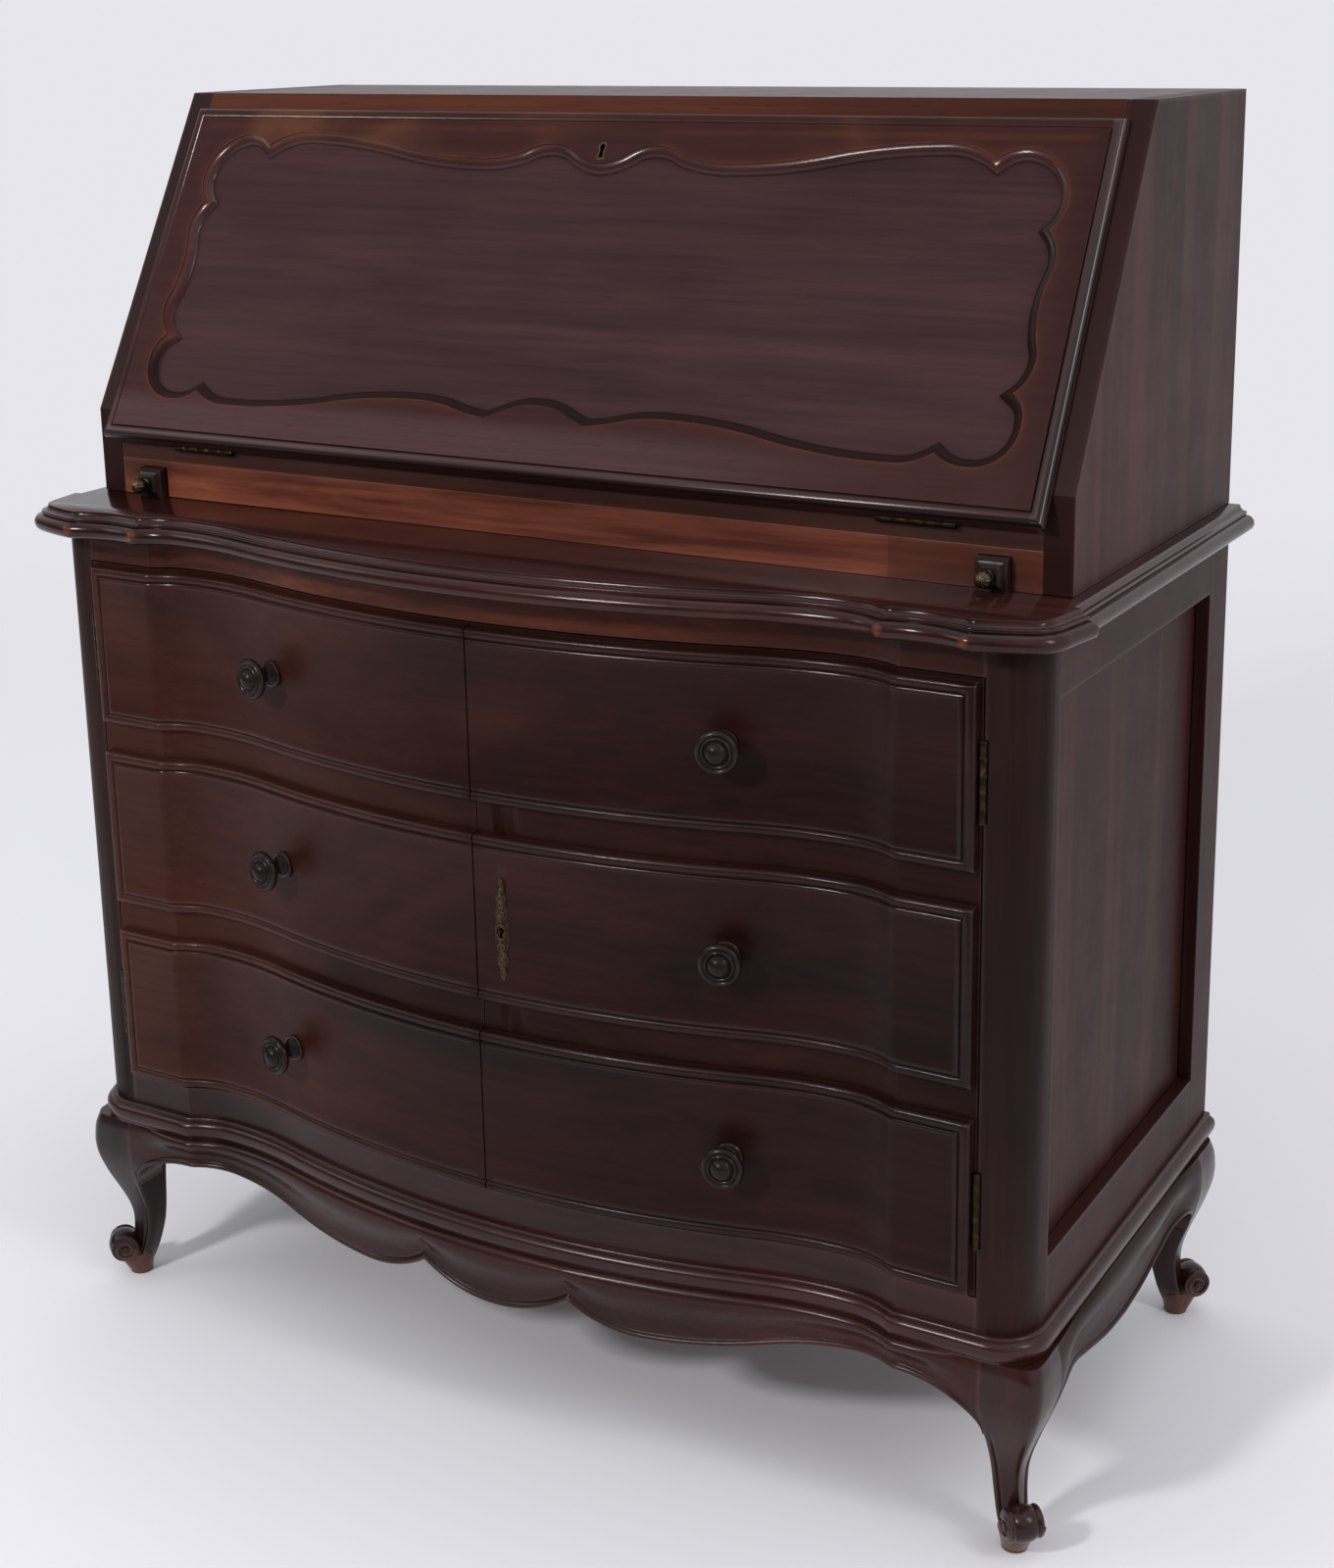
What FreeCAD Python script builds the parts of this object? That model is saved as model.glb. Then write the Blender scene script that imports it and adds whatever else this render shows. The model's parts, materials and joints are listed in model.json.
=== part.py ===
# A slant-front writing bureau on a serpentine cupboard, in millimetres.
# +Z is up, the front faces -Y, and the origin lies on the floor under the middle of the outer box.
import FreeCAD
import Part
import Sketcher
import math
import os

# Driving dimensions, by the piece that they belong to.
SIZES = {
    # how far a cutting shape runs past the face that it opens
    "cut_over": 1,
    # lower case, seen in plan
    "lower_width": 872,
    "door_depth": 412.5,
    "belly": 28.5,
    "dip": 10.5,
    "dip_at": 295,
    "ridge_at": 335,
    "inflection_at": 220,
    "post_width": 38,
    "post_depth": 40.5,
    "post_round": 30,
    "frame_thick": 22,
    "stile_width": 45,
    "side_top_rail": 44,
    "side_bottom_rail": 48,
    "panel_thick": 8,
    "panel_recess": 12,
    "groove_depth": 6,
    "groove_play": 0.2,
    "back_thick": 6,
    "back_inset": 5,
    "bottom_thick": 16,
    "shelf_thick": 16,
    "shelf_height": 254,
    "shelf_setback": 45,
    "batten_width": 12,
    "batten_height": 16,
    # heights, from the floor up
    "leg_height": 160,
    "base_height": 20,
    "lower_height": 511,
    "board_thick": 21,
    "upper_height": 325,
    "upright": 70,
    # base moulding, legs and aprons
    "base_swell": 9,
    "base_step": 4,
    "base_width": 40,
    "foot_side_inset": 12,
    "foot_front_inset": 18.5,
    "foot_rear_inset": 24,
    "foot_radius": 10,
    "foot_flare": 13,
    "foot_height": 17,
    "toe_radius": 14,
    "toe_length": 28,
    "toe_reach": 15,
    "toe_height": 28,
    "knee_height": 137,
    "knee_out": 25,
    "knee_in": 20.5,
    "knee_round": 9,
    "shank_height": 94,
    "shank_out": 14.5,
    "shank_in": 19.5,
    "ankle_height": 52,
    "ankle_out": 3.2,
    "ankle_in": 18,
    "ankle_round": 3,
    "shank_round": 5,
    "instep_out": 5,
    "instep_in": 14,
    "leg_top_out": 22,
    "apron_swell": 8,
    "apron_thick": 32,
    "apron_play": 0.3,
    "apron_low": 107.5,
    "apron_cusp_height": 127.5,
    "apron_cusp_at": 68,
    "apron_lobe_low": 108.5,
    "apron_lobe_at": 130,
    "apron_shoulder": 132,
    "apron_end": 116,
    "side_apron_end": 112,
    "side_apron_low": 97,
    "back_apron_drop": 41,
    "back_apron_thick": 20,
    # doors
    "door_thick": 22,
    "door_gap": 1.2,
    "door_rail_top": 23.5,
    "door_rail_bottom": 26,
    "rail_thick": 30,
    "front_margin": 2.3,
    "front_gap": 25.8,
    "front_edge": 2.8,
    "front_thick": 5,
    "field_rise": 2.5,
    "field_inset": 13,
    "knob_at": 204,
    "knob_radius": 16.5,
    "knob_reach": 29,
    "knob_neck": 5.5,
    "knob_base": 10.5,
    # brass butt hinges
    "knuckle_radius": 3,
    "knuckle_play": 0.4,
    "knuckle_gap": 0.3,
    "pin_radius": 1.3,
    "pin_play": 0.06,
    "leaf_thick": 1.5,
    "leaf_play": 0.1,
    "door_hinge_length": 59,
    "door_hinge_foot": 67.8,
    "door_hinge_head": 72.3,
    "door_leaf_depth": 20,
    "door_hinge_out": 1,
    "fall_hinge_length": 61,
    "fall_hinge_at": 320,
    "fall_leaf_depth": 26,
    "fall_leaf_thick": 1.8,
    # door lock and its plate
    "lock_drop": 5.75,
    "lock_case_width": 40,
    "lock_case_height": 60,
    "lock_case_thick": 11,
    "bolt_thick": 5,
    "bolt_height": 14,
    "bolt_length": 20,
    "bolt_play": 0.3,
    "door_bolt_throw": 8,
    "plate_at": 24,
    "plate_height": 82,
    "plate_width": 13,
    "plate_thick": 1.6,
    "key_radius": 2.4,
    "key_slot": 7,
    # moulded board between the cases
    "board_lap": 14.5,
    "board_nose": 12,
    "board_side_lap": 8,
    "scallop": 5,
    "ear_start": 41,
    "ear_front_radius": 170,
    "ear_corner_radius": 21.2,
    "ear_corner_in": 13,
    "ear_corner_behind": 11.1,
    "ear_turn_degrees": 22,
    "ear_lean_degrees": 10,
    "ear_end": 40,
    # upper case
    "upper_width": 870,
    "upper_depth": 351,
    "top_depth": 207,
    "side_thick": 22,
    "top_thick": 22,
    "upper_back_thick": 8,
    "upper_back_inset": 4,
    "fall_rail_thick": 22,
    "desk_thick": 14,
    # fall flap
    "fall_top_lap": 8.7,
    "fall_lip": 8.5,
    "fall_inside": 11.5,
    "fall_side_lap": 5.2,
    "fall_side_play": 0.8,
    "fall_seat_play": 0.4,
    "fall_tongue_gap": 4.3,
    "axis_below_desk": 1,
    "fall_edge_width": 10,
    "fall_edge_drop": 5,
    "fall_quirk": 1.5,
    "fall_quirk_width": 1,
    "carve_side": 29.2,
    "carve_low": 35,
    "carve_top": 23,
    "carve_depth": 7,
    "fall_key_drop": 32,
    "fall_key_thick": 2,
    "fall_key_proud": 0.3,
    "fall_key_width": 8,
    "fall_lock_drop": 40,
    "fall_lock_width": 60,
    "fall_bolt_in": 4,
    "fall_bolt_throw": 12,
    # slides that carry the open fall
    "loper_size": 24,
    "loper_at": 378,
    "loper_play": 0.4,
    "loper_length": 311,
    "loper_head": 12,
    "loper_head_rise": 4,
    "loper_head_inset": 6,
    "loper_fall_gap": 0.5,
    "guide_width": 12,
    "loper_knob_radius": 6.5,
    "loper_knob_reach": 15,
    "loper_knob_neck": 3,
    # pigeonholes and small drawers inside
    "gallery_depth": 178,
    "gallery_board": 8,
    "gallery_drawer_height": 62,
    "gallery_bay_at": 150,
    "gallery_hole_at": 282,
    "drawer_play": 0.6,
    "drawer_wall": 6,
    "drawer_front": 10,
    "drawer_length": 155,
    "drawer_knob_radius": 7,
    "drawer_knob_reach": 13,
    "drawer_knob_neck": 3,
}

# Carved outline of the fall, right half, from the top middle round to the bottom middle.
# Each arc is (through, end) in hundredths of the carving's half width and of its height.
CARVING_START = (0, 90.9)
CARVING = [
    ((3.3, 92), (6.2, 94.2)), ((9, 96.6), (12.6, 97.3)), ((15.7, 96.5), (18.5, 94.4)),
    ((23.7, 92.3), (29.6, 91.7)), ((40.6, 92.9), (51.4, 95.9)), ((62.5, 98.8), (73.3, 100)),
    ((79.4, 98.8), (84.3, 94.9)),
    ((86.9, 97.7), (90.2, 98.7)), ((96.7, 94.2), (99.7, 85.6)), ((99.5, 79), (97.4, 73.5)),
    ((99.6, 67.1), (99.5, 59.7)), ((98.6, 49.4), (99.4, 39.5)), ((100, 30.9), (97.2, 23.4)),
    ((99.2, 20.2), (100, 15.2)), ((97.7, 4.5), (91.5, 0.6)), ((87.9, 1.4), (84.8, 4.2)),
    ((81.5, 1.3), (77.1, 0)), ((64.3, 0.7), (51.4, 3.5)), ((41.1, 6.2), (30.8, 7.2)),
    ((25.7, 7.1), (20.6, 6)), ((16, 4.1), (11.4, 3.1)),
    ((9.3, 4.5), (6.4, 6.6)), ((3.3, 8.2), (0, 8.6)),
]

# Edge profiles, from the top down: (drop as a share of the height, swell as a share of the reach).
BOARD_EDGE = [
    (0, 0), (0.06, 0.06), (0.12, 0.14), (0.19, 0.26), (0.235, 0.4), (0.36, 0.42), (0.39, 0.6),
    (0.42, 0.73), (0.49, 0.875), (0.585, 0.965), (0.69, 1), (0.795, 0.965), (0.89, 0.875),
    (0.96, 0.73), (1, 0.55),
]
BASE_EDGE = [
    (0, 0.3), (0.08, 0.62), (0.2, 0.88), (0.38, 1), (0.58, 0.94), (0.74, 0.72), (0.8, 0.6),
]

doc = FreeCAD.newDocument("Bureau")
sheet = doc.addObject("Spreadsheet::Sheet", "Dims")
for row, (alias, number) in enumerate(SIZES.items(), 1):
    sheet.set(f"A{row}", alias)
    sheet.set(f"B{row}", str(number))
    sheet.setAlias(f"B{row}", alias)
doc.recompute()


class Size:
    """A length, with the sheet expression that gives it."""

    def __init__(self, value, text):
        self.value = value
        self.text = text

    def __add__(self, other):
        other = size(other)
        return Size(self.value + other.value, f"({self.text} + {other.text})")

    def __sub__(self, other):
        other = size(other)
        return Size(self.value - other.value, f"({self.text} - {other.text})")

    def __mul__(self, other):
        other = size(other)
        return Size(self.value * other.value, f"({self.text} * {other.text})")

    def __truediv__(self, other):
        other = size(other)
        return Size(self.value / other.value, f"({self.text} / {other.text})")

    def __radd__(self, other):
        return size(other) + self

    def __rsub__(self, other):
        return size(other) - self

    def __rmul__(self, other):
        return size(other) * self

    def __neg__(self):
        return self * -1


def size(thing):
    return thing if isinstance(thing, Size) else Size(float(thing), f"({thing})")


def root(area):
    return Size(math.sqrt(area.value), f"sqrt({area.text})")


def sag_radius(run, rise):
    """Radius of an arc that leaves level and rises by rise over run."""
    return (run * run + rise * rise) / (rise * 2)


class Dims:
    """The sheet's values, one attribute for each alias."""

    def __getattr__(self, alias):
        return Size(float(sheet.get(alias)), "Dims." + alias)


D = Dims()
ORIGIN = size(0)
nodes = {}


def node(label, piece):
    """Names a finished sub-part."""
    piece.Label = label
    nodes[label] = piece
    return piece


def bind(piece, prop, length):
    piece.setExpression(prop, size(length).text)


def place(piece, x=ORIGIN, y=ORIGIN, z=ORIGIN):
    for axis, value in zip("xyz", (x, y, z)):
        bind(piece, "Placement.Base." + axis, value)
    return piece


def turn(piece, axis, angle_text):
    """Turns a piece about a direction by the angle that an expression gives."""
    piece.Placement = FreeCAD.Placement(FreeCAD.Vector(), FreeCAD.Rotation(FreeCAD.Vector(*axis), 30))
    piece.setExpression("Placement.Rotation.Angle", angle_text)
    return piece


def block(name, x, y, z):
    """A rectangular solid between three pairs of faces."""
    solid = doc.addObject("Part::Box", name)
    for prop, axis, (low, high) in zip(("Length", "Width", "Height"), "xyz", (x, y, z)):
        bind(solid, prop, high - low)
        bind(solid, "Placement.Base." + axis, low)
    return solid


def rod(name, radius, length, x=ORIGIN, y=ORIGIN, z=ORIGIN):
    """A round bar along +Z."""
    solid = doc.addObject("Part::Cylinder", name)
    bind(solid, "Radius", radius)
    bind(solid, "Height", length)
    return place(solid, x, y, z)


def group(name, pieces):
    """Separate solids that are kept together."""
    solid = doc.addObject("Part::Compound", name)
    solid.Links = pieces
    return solid


def fuse(name, pieces):
    solid = doc.addObject("Part::MultiFuse", name)
    solid.Shapes = pieces
    return solid


def cut(name, base, tools):
    solid = doc.addObject("Part::Cut", name)
    solid.Base = base
    solid.Tool = tools[0] if len(tools) == 1 else group(name + "_tools", tools)
    return solid


def common(name, first, second):
    solid = doc.addObject("Part::MultiCommon", name)
    solid.Shapes = [first, second]
    return solid


def shape(name, solid):
    piece = doc.addObject("Part::Feature", name)
    piece.Shape = solid
    return piece


def span(low, high, side):
    """A range of x on the right, or its mirror image on the left."""
    return (low, high) if side > 0 else (-high, -low)


def flat(x, y, z=0):
    return FreeCAD.Vector(size(x).value, size(y).value, size(z).value)


def curve(start, end, radius, way):
    """The short arc from start to end; way is 1 anticlockwise and -1 clockwise."""
    chord = end - start
    left = FreeCAD.Vector(-chord.y, chord.x, 0).normalize()
    rise = math.sqrt(radius ** 2 - (chord.Length / 2) ** 2)
    centre = (start + end) / 2 + left * rise * way
    first, last = (start, end) if way > 0 else (end, start)
    angles = [math.atan2(p.y - centre.y, p.x - centre.x) for p in (first, last)]
    circle = Part.Circle(centre, FreeCAD.Vector(0, 0, 1), radius)
    return Part.ArcOfCircle(circle, *angles)


def segments(path):
    """Lines and arcs of a closed path whose steps are (x, y) or (x, y, radius, way)."""
    points = [flat(*step[:2]) for step in path]
    for index, step in enumerate(path):
        start, end = points[index - 1], points[index]
        if len(step) == 2:
            yield Part.LineSegment(start, end), 1
        else:
            yield curve(start, end, size(step[2]).value, step[3]), step[3]


def draw(sketch, path):
    """Draws a closed path with every corner and radius held by the sheet."""
    shapes, ways = zip(*segments(path))
    sketch.addGeometry(list(shapes), False)
    ends = [(1, 2) if way > 0 else (2, 1) for way in ways]
    limits = []
    for index, step in enumerate(path):
        after = (index + 1) % len(path)
        joined = Sketcher.Constraint("Coincident", index, ends[index][1], after, ends[after][0])
        limits.append((joined, None))
        for kind, value in zip(("DistanceX", "DistanceY"), step[:2]):
            value = size(value)
            limits.append((Sketcher.Constraint(kind, -1, 1, index, ends[index][1], value.value), value))
        if len(step) > 2:
            radius = size(step[2])
            limits.append((Sketcher.Constraint("Radius", index, radius.value), radius))
    sketch.addConstraint([limit for limit, _ in limits])
    for index, (_, value) in enumerate(limits):
        if value:
            bind(sketch, f"Constraints[{index}]", value)


def sketched(name, plane, path):
    """A body with one sketch on one of its origin planes."""
    body = doc.addObject("PartDesign::Body", name)
    sketch = body.newObject("Sketcher::SketchObject", name + "_sketch")
    support = next(item for item in body.Origin.OriginFeatures if item.Role == plane)
    sketch.AttachmentSupport = [(support, "")]
    sketch.MapMode = "FlatFace"
    draw(sketch, path)
    return body, sketch


def prism(name, plane, path, low, high):
    """A padded outline between two levels along the plane's axis."""
    body, sketch = sketched(name, plane, path)
    pad = body.newObject("PartDesign::Pad", name + "_pad")
    pad.Profile = sketch
    bind(pad, "Length", high - low)
    levels = {"XY_Plane": ("z", low), "XZ_Plane": ("y", high), "YZ_Plane": ("x", low)}
    axis, level = levels[plane]
    bind(body, "Placement.Base." + axis, level)
    return body


def turned(name, path):
    """A piece turned about the sketch's upright axis, which is the Y axis of its body."""
    body, sketch = sketched(name, "XY_Plane", path)
    lathe = body.newObject("PartDesign::Revolution", name + "_turning")
    lathe.Profile = sketch
    lathe.ReferenceAxis = (sketch, ["V_Axis"])
    lathe.Angle = 360
    return body


# Places that several pieces share
half = D.lower_width / 2
upper_half = D.upper_width / 2
back = (D.door_depth + D.belly + D.board_lap + D.board_nose) / 2
front = back - D.door_depth
opening = half - D.post_width
base_top = D.leg_height + D.base_height
board_low = base_top + D.lower_height
board_top = board_low + D.board_thick
top = board_top + D.upper_height
desk_front = back - D.upper_depth
panel_front = front + D.post_depth
panel_rear = back - D.stile_width
frame_in = half - D.frame_thick
inside_back = back - D.back_inset - D.back_thick
door_low = base_top + D.door_rail_bottom
door_high = board_low - D.door_rail_top
door_floor = door_low + D.door_gap
door_head = door_high - D.door_gap
hinge_low = door_floor + D.door_hinge_foot
hinge_high = door_head - D.door_hinge_head
lock_z = (door_floor + door_head) / 2 - D.lock_drop

# The serpentine: a belly arc, a hollow arc and a short flare that ends in a ridge beside the flat.
hollow = D.belly + D.dip
radii_sum = sag_radius(D.dip_at, hollow)
belly_radius = radii_sum * D.inflection_at / D.dip_at
hollow_radius = radii_sum - belly_radius
flare_radius = sag_radius(D.ridge_at - D.dip_at, D.dip)


def belly_ahead(x, offset):
    """How far the belly arc stands ahead of the flat door face at x."""
    radius = belly_radius + offset
    return D.belly - belly_radius + root(radius * radius - x * x)


def ridge_x(offset):
    return D.dip_at + root(D.dip * (flare_radius * 2 - D.dip - offset * 2))


def wave(offset, inner, outer, side):
    """Steps along the serpentine from inner to outer, at an offset ahead of the door face."""
    radius = belly_radius + offset
    share = radius / radii_sum
    steps = [
        (inner, belly_ahead(inner, offset)),
        (share * D.dip_at, D.belly - belly_radius + radius - share * hollow, radius, 1),
        (D.dip_at, offset - D.dip, hollow_radius - offset, -1),
        (ridge_x(offset), offset, flare_radius - offset, -1),
        (outer, offset),
    ]
    placed = []
    for x, ahead, *bend in steps:
        arc = [bend[0], bend[1] * side] if bend else []
        placed.append((size(x) * side, front - ahead, *arc))
    return placed


def reverse(steps):
    """The same steps walked the other way."""
    walked = [steps[-1][:2]]
    for before, step in zip(steps[-2::-1], steps[:0:-1]):
        arc = (step[2], -step[3]) if len(step) > 2 else ()
        walked.append((*before[:2], *arc))
    return walked


def serpentine(offset, reach):
    """Steps along the whole front, from left to right."""
    return reverse(wave(offset, ORIGIN, reach, -1)) + wave(offset, ORIGIN, reach, 1)[1:]


def serpentine_rail(name, offset, reach, rear, low, high):
    """A rail with a serpentine front and a straight back."""
    path = serpentine(offset, reach) + [(reach, rear), (-reach, rear)]
    return prism(name, "XY_Plane", path, low, high)


def serpentine_strip(name, inner, outer, side, behind, ahead, low, high):
    """A bent board of even thickness on one side of the middle."""
    path = wave(ahead, inner, outer, side) + reverse(wave(behind, inner, outer, side))
    return prism(name, "XY_Plane", path, low, high)


def outline_wire(path, z):
    edges = [part.toShape() for part, _ in segments(path)]
    wire = Part.Wire(Part.__sortEdges__(edges))
    wire.translate(FreeCAD.Vector(0, 0, z))
    return wire


def moulded(outline, edge, reach, low, high):
    """A board whose edge follows a profile all round; outline gives its plan at a swell."""
    wires = [outline_wire(outline(reach * swell), high - drop * (high - low)) for drop, swell in edge]
    return Part.makeLoft(wires, True, True)


# Legs: a cabriole leg stands under each corner, its knee, toe and pad in line with the diagonal.
# The rear legs are sawn off flush with the back, so that the bureau stands against a wall.
def leg_section(z, out, inward, rounding):
    """A square with a rounded outer corner, in the leg's own frame."""
    out, inward, rounding = (size(value).value for value in (out, inward, rounding))
    path = [
        (-inward, -inward), (out, -inward), (out, out - rounding),
        (out - rounding, out, rounding, 1), (-inward, out),
    ]
    return outline_wire(path, size(z).value)


leg_sections = [
    (D.foot_height * 0.6, D.foot_flare * 0.6, D.foot_flare * 0.7, D.ankle_round),
    (D.toe_height, D.instep_out, D.instep_in, D.ankle_round),
    (D.ankle_height, D.ankle_out, D.ankle_in, D.ankle_round),
    (D.shank_height, D.shank_out, D.shank_in, D.shank_round),
    (D.knee_height, D.knee_out, D.knee_in, D.knee_round),
    (D.leg_height, D.leg_top_out, D.knee_in, D.knee_round),
]
foot_x = half - D.foot_side_inset
foot_front = front + D.foot_front_inset
foot_rear = back - D.foot_rear_inset
corners = {
    "leg_rear_right": (foot_x, foot_rear, 0),
    "leg_rear_left": (-foot_x, foot_rear, 90),
    "leg_front_left": (-foot_x, foot_front, 180),
    "leg_front_right": (foot_x, foot_front, 270),
}
behind = block("room_behind", (-half * 2, half * 2), (back, back + D.toe_reach * 3), (ORIGIN, D.leg_height))
for label, (x, y, quarter) in corners.items():
    rings = [leg_section(*item) for item in leg_sections]
    shank = shape(label + "_shank", Part.makeLoft(rings, True, False))
    pad = doc.addObject("Part::Cone", label + "_pad")
    bind(pad, "Radius1", D.foot_radius)
    bind(pad, "Radius2", D.foot_flare)
    bind(pad, "Height", D.foot_height)
    toe = doc.addObject("Part::Cylinder", label + "_toe")
    bind(toe, "Radius", D.toe_radius)
    bind(toe, "Height", D.toe_length)
    diagonal = FreeCAD.Rotation(FreeCAD.Vector(0, 0, 1), FreeCAD.Vector(-1, 1, 0))
    toe.Placement = FreeCAD.Placement(FreeCAD.Vector(), diagonal)
    along = root(size(0.5))
    bind(toe, "Placement.Base.x", along * (D.toe_reach + D.toe_length / 2))
    bind(toe, "Placement.Base.y", along * (D.toe_reach - D.toe_length / 2))
    bind(toe, "Placement.Base.z", D.toe_height)
    leg = fuse(label + "_whole", [shank, pad, toe])
    leg.Placement = FreeCAD.Placement(FreeCAD.Vector(), FreeCAD.Rotation(FreeCAD.Vector(0, 0, 1), quarter))
    place(leg, x, y)
    node(label, cut(label, leg, [behind]) if "rear" in label else leg)

# Aprons: shaped rails between the legs, under the base moulding.
apron_reach = foot_x - D.knee_in - D.apron_play
lobe_run = D.apron_lobe_at - D.apron_cusp_at
lobe_rise = D.apron_cusp_height - D.apron_lobe_low
swing_run = (D.ridge_at - D.apron_lobe_at) / 2
swing_rise = (D.apron_shoulder - D.apron_lobe_low) / 2
swing_radius = sag_radius(swing_run, swing_rise)
end_radius = sag_radius(apron_reach - D.ridge_at, D.apron_shoulder - D.apron_end)
centre_radius = sag_radius(D.apron_cusp_at, D.apron_cusp_height - D.apron_low)
lobe_radius = sag_radius(lobe_run, lobe_rise)


def apron_half(side):
    """Lower edge of the front apron from its middle cusp out to the leg."""
    steps = [
        (D.apron_cusp_at, D.apron_cusp_height),
        (D.apron_lobe_at, D.apron_lobe_low, lobe_radius, 1),
        (D.apron_lobe_at + swing_run, D.apron_lobe_low + swing_rise, swing_radius, 1),
        (D.ridge_at, D.apron_shoulder, swing_radius, -1),
        (apron_reach, D.apron_end, end_radius, -1),
    ]
    return [(x * side, z, *([bend[0], bend[1] * side] if bend else [])) for x, z, *bend in steps]


right_edge = apron_half(1)
middle_arc = (D.apron_cusp_at, D.apron_cusp_height, centre_radius, 1)
apron_edge = reverse(apron_half(-1)) + [middle_arc] + right_edge[1:]
apron_rear = front + D.apron_thick
apron_face = prism(
    "front_apron_face", "XZ_Plane",
    apron_edge + [(apron_reach, D.leg_height), (-apron_reach, D.leg_height)],
    front - D.belly - D.apron_swell * 2, apron_rear,
)
apron_plan = serpentine_rail(
    "front_apron_plan", D.apron_swell, apron_reach, apron_rear, D.apron_low / 2, D.leg_height)
node("front_apron", common("front_apron_shaped", apron_plan, apron_face))

apron_front_y = foot_front + D.knee_in + D.apron_play
apron_rear_y = foot_rear - D.knee_in - D.apron_play
side_run = (apron_rear_y - apron_front_y) / 2
side_arc = sag_radius(side_run, D.side_apron_end - D.side_apron_low)
for side, name in ((1, "right"), (-1, "left")):
    low, high = span(frame_in, half + D.apron_swell, side)
    path = [
        (apron_front_y, D.leg_height), (apron_front_y, D.side_apron_end),
        (apron_rear_y, D.side_apron_end, side_arc, 1), (apron_rear_y, D.leg_height),
    ]
    node("side_apron_" + name, prism("side_apron_" + name, "YZ_Plane", path, low, high))
half_apron = D.back_apron_thick / 2
node("back_apron", block(
    "back_apron", (-apron_reach, apron_reach), (foot_rear - half_apron, foot_rear + half_apron),
    (D.leg_height - D.back_apron_drop, D.leg_height)))


# Base moulding: a rounded strip under the case, mitred behind its front corners.
def base_outline(swell):
    side_x = half + swell
    corner = D.post_round + swell
    flat_end = half - D.post_round
    right = wave(size(swell), ORIGIN, flat_end, 1)
    left = reverse(wave(size(swell), ORIGIN, flat_end, -1))
    return (
        [(-side_x, back), (-side_x, front + D.post_round), (-flat_end, front - swell, corner, 1)]
        + left[1:] + right[1:]
        + [(side_x, front + D.post_round, corner, 1), (side_x, back)]
    )


base_edge = [(drop, swell * D.base_swell.value) for drop, swell in BASE_EDGE]
base_edge.append((0.82, D.base_step.value))
base_edge.append((1, D.base_step.value))
base_strip = shape(
    "base_strip", moulded(base_outline, base_edge, 1, D.leg_height.value, base_top.value))
base_seam = front + D.base_width
base_pieces = [common("base_front", base_strip, block(
    "base_front_room", (-half * 2, half * 2), (front - D.belly * 3, base_seam), (D.leg_height, base_top)))]
for side, name in ((1, "right"), (-1, "left")):
    room = block("base_room_" + name, span(half - D.base_width, half * 2, side), (base_seam, back),
                 (D.leg_height, base_top))
    base_pieces.append(common("base_" + name, base_strip, room))
node("base_moulding", group("base_moulding", base_pieces))

# Side frames: a front post, a rear stile and two rails hold a sunk panel in their grooves.
panel_out = half - D.panel_recess
panel_in = panel_out - D.panel_thick
panel_low = base_top + D.side_bottom_rail
panel_high = board_low - D.side_top_rail
for side, name in ((1, "right"), (-1, "left")):
    reach = D.groove_depth
    slack = D.groove_depth + D.groove_play
    panel = block("side_panel_" + name, span(panel_in, panel_out, side),
                  (panel_front - reach, panel_rear + reach), (panel_low - reach, panel_high + reach))
    groove = block("side_groove_" + name, span(panel_in - D.groove_play, panel_out + D.groove_play, side),
                   (panel_front - slack, panel_rear + slack), (panel_low - slack, panel_high + slack))
    node("side_panel_" + name, panel)
    post = prism("front_post_blank_" + name, "XY_Plane", [
        (opening * side, front), ((half - D.post_round) * side, front),
        (half * side, front + D.post_round, D.post_round, side),
        (half * side, panel_front), (opening * side, panel_front),
    ], base_top, board_low)
    mortises = [groove]
    for level, middle in (("low", hinge_low), ("high", hinge_high)):
        length = D.door_hinge_length
        inner = opening - D.leaf_play
        mortises.append(block(
            f"post_leaf_room_{level}_{name}",
            span(inner, opening + D.leaf_thick + D.leaf_play, side),
            (front - D.cut_over, front + D.door_leaf_depth + D.leaf_play),
            (middle - length / 2 - D.leaf_play, middle + length / 2 + D.leaf_play)))
        mortises.append(rod(
            f"post_knuckle_room_{level}_{name}", D.knuckle_radius + D.knuckle_play,
            length + D.knuckle_play * 2, (opening - D.door_gap / 2) * side, front - D.door_hinge_out,
            middle - length / 2 - D.knuckle_play))
    node("front_post_" + name, cut("front_post_" + name, post, mortises))
    stile = block("rear_stile_blank_" + name, span(frame_in, half, side), (panel_rear, back),
                  (base_top, board_low))
    node("rear_stile_" + name, cut("rear_stile_" + name, stile, [groove]))
    rails = []
    for level, low, high in (("bottom", base_top, panel_low), ("top", panel_high, board_low)):
        rail = block(f"side_rail_{level}_blank_{name}", span(frame_in, half, side),
                     (panel_front, panel_rear), (low, high))
        rails.append(cut(f"side_rail_{level}_{name}", rail, [groove]))
    node("side_rails_" + name, group("side_rails_" + name, rails))

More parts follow.
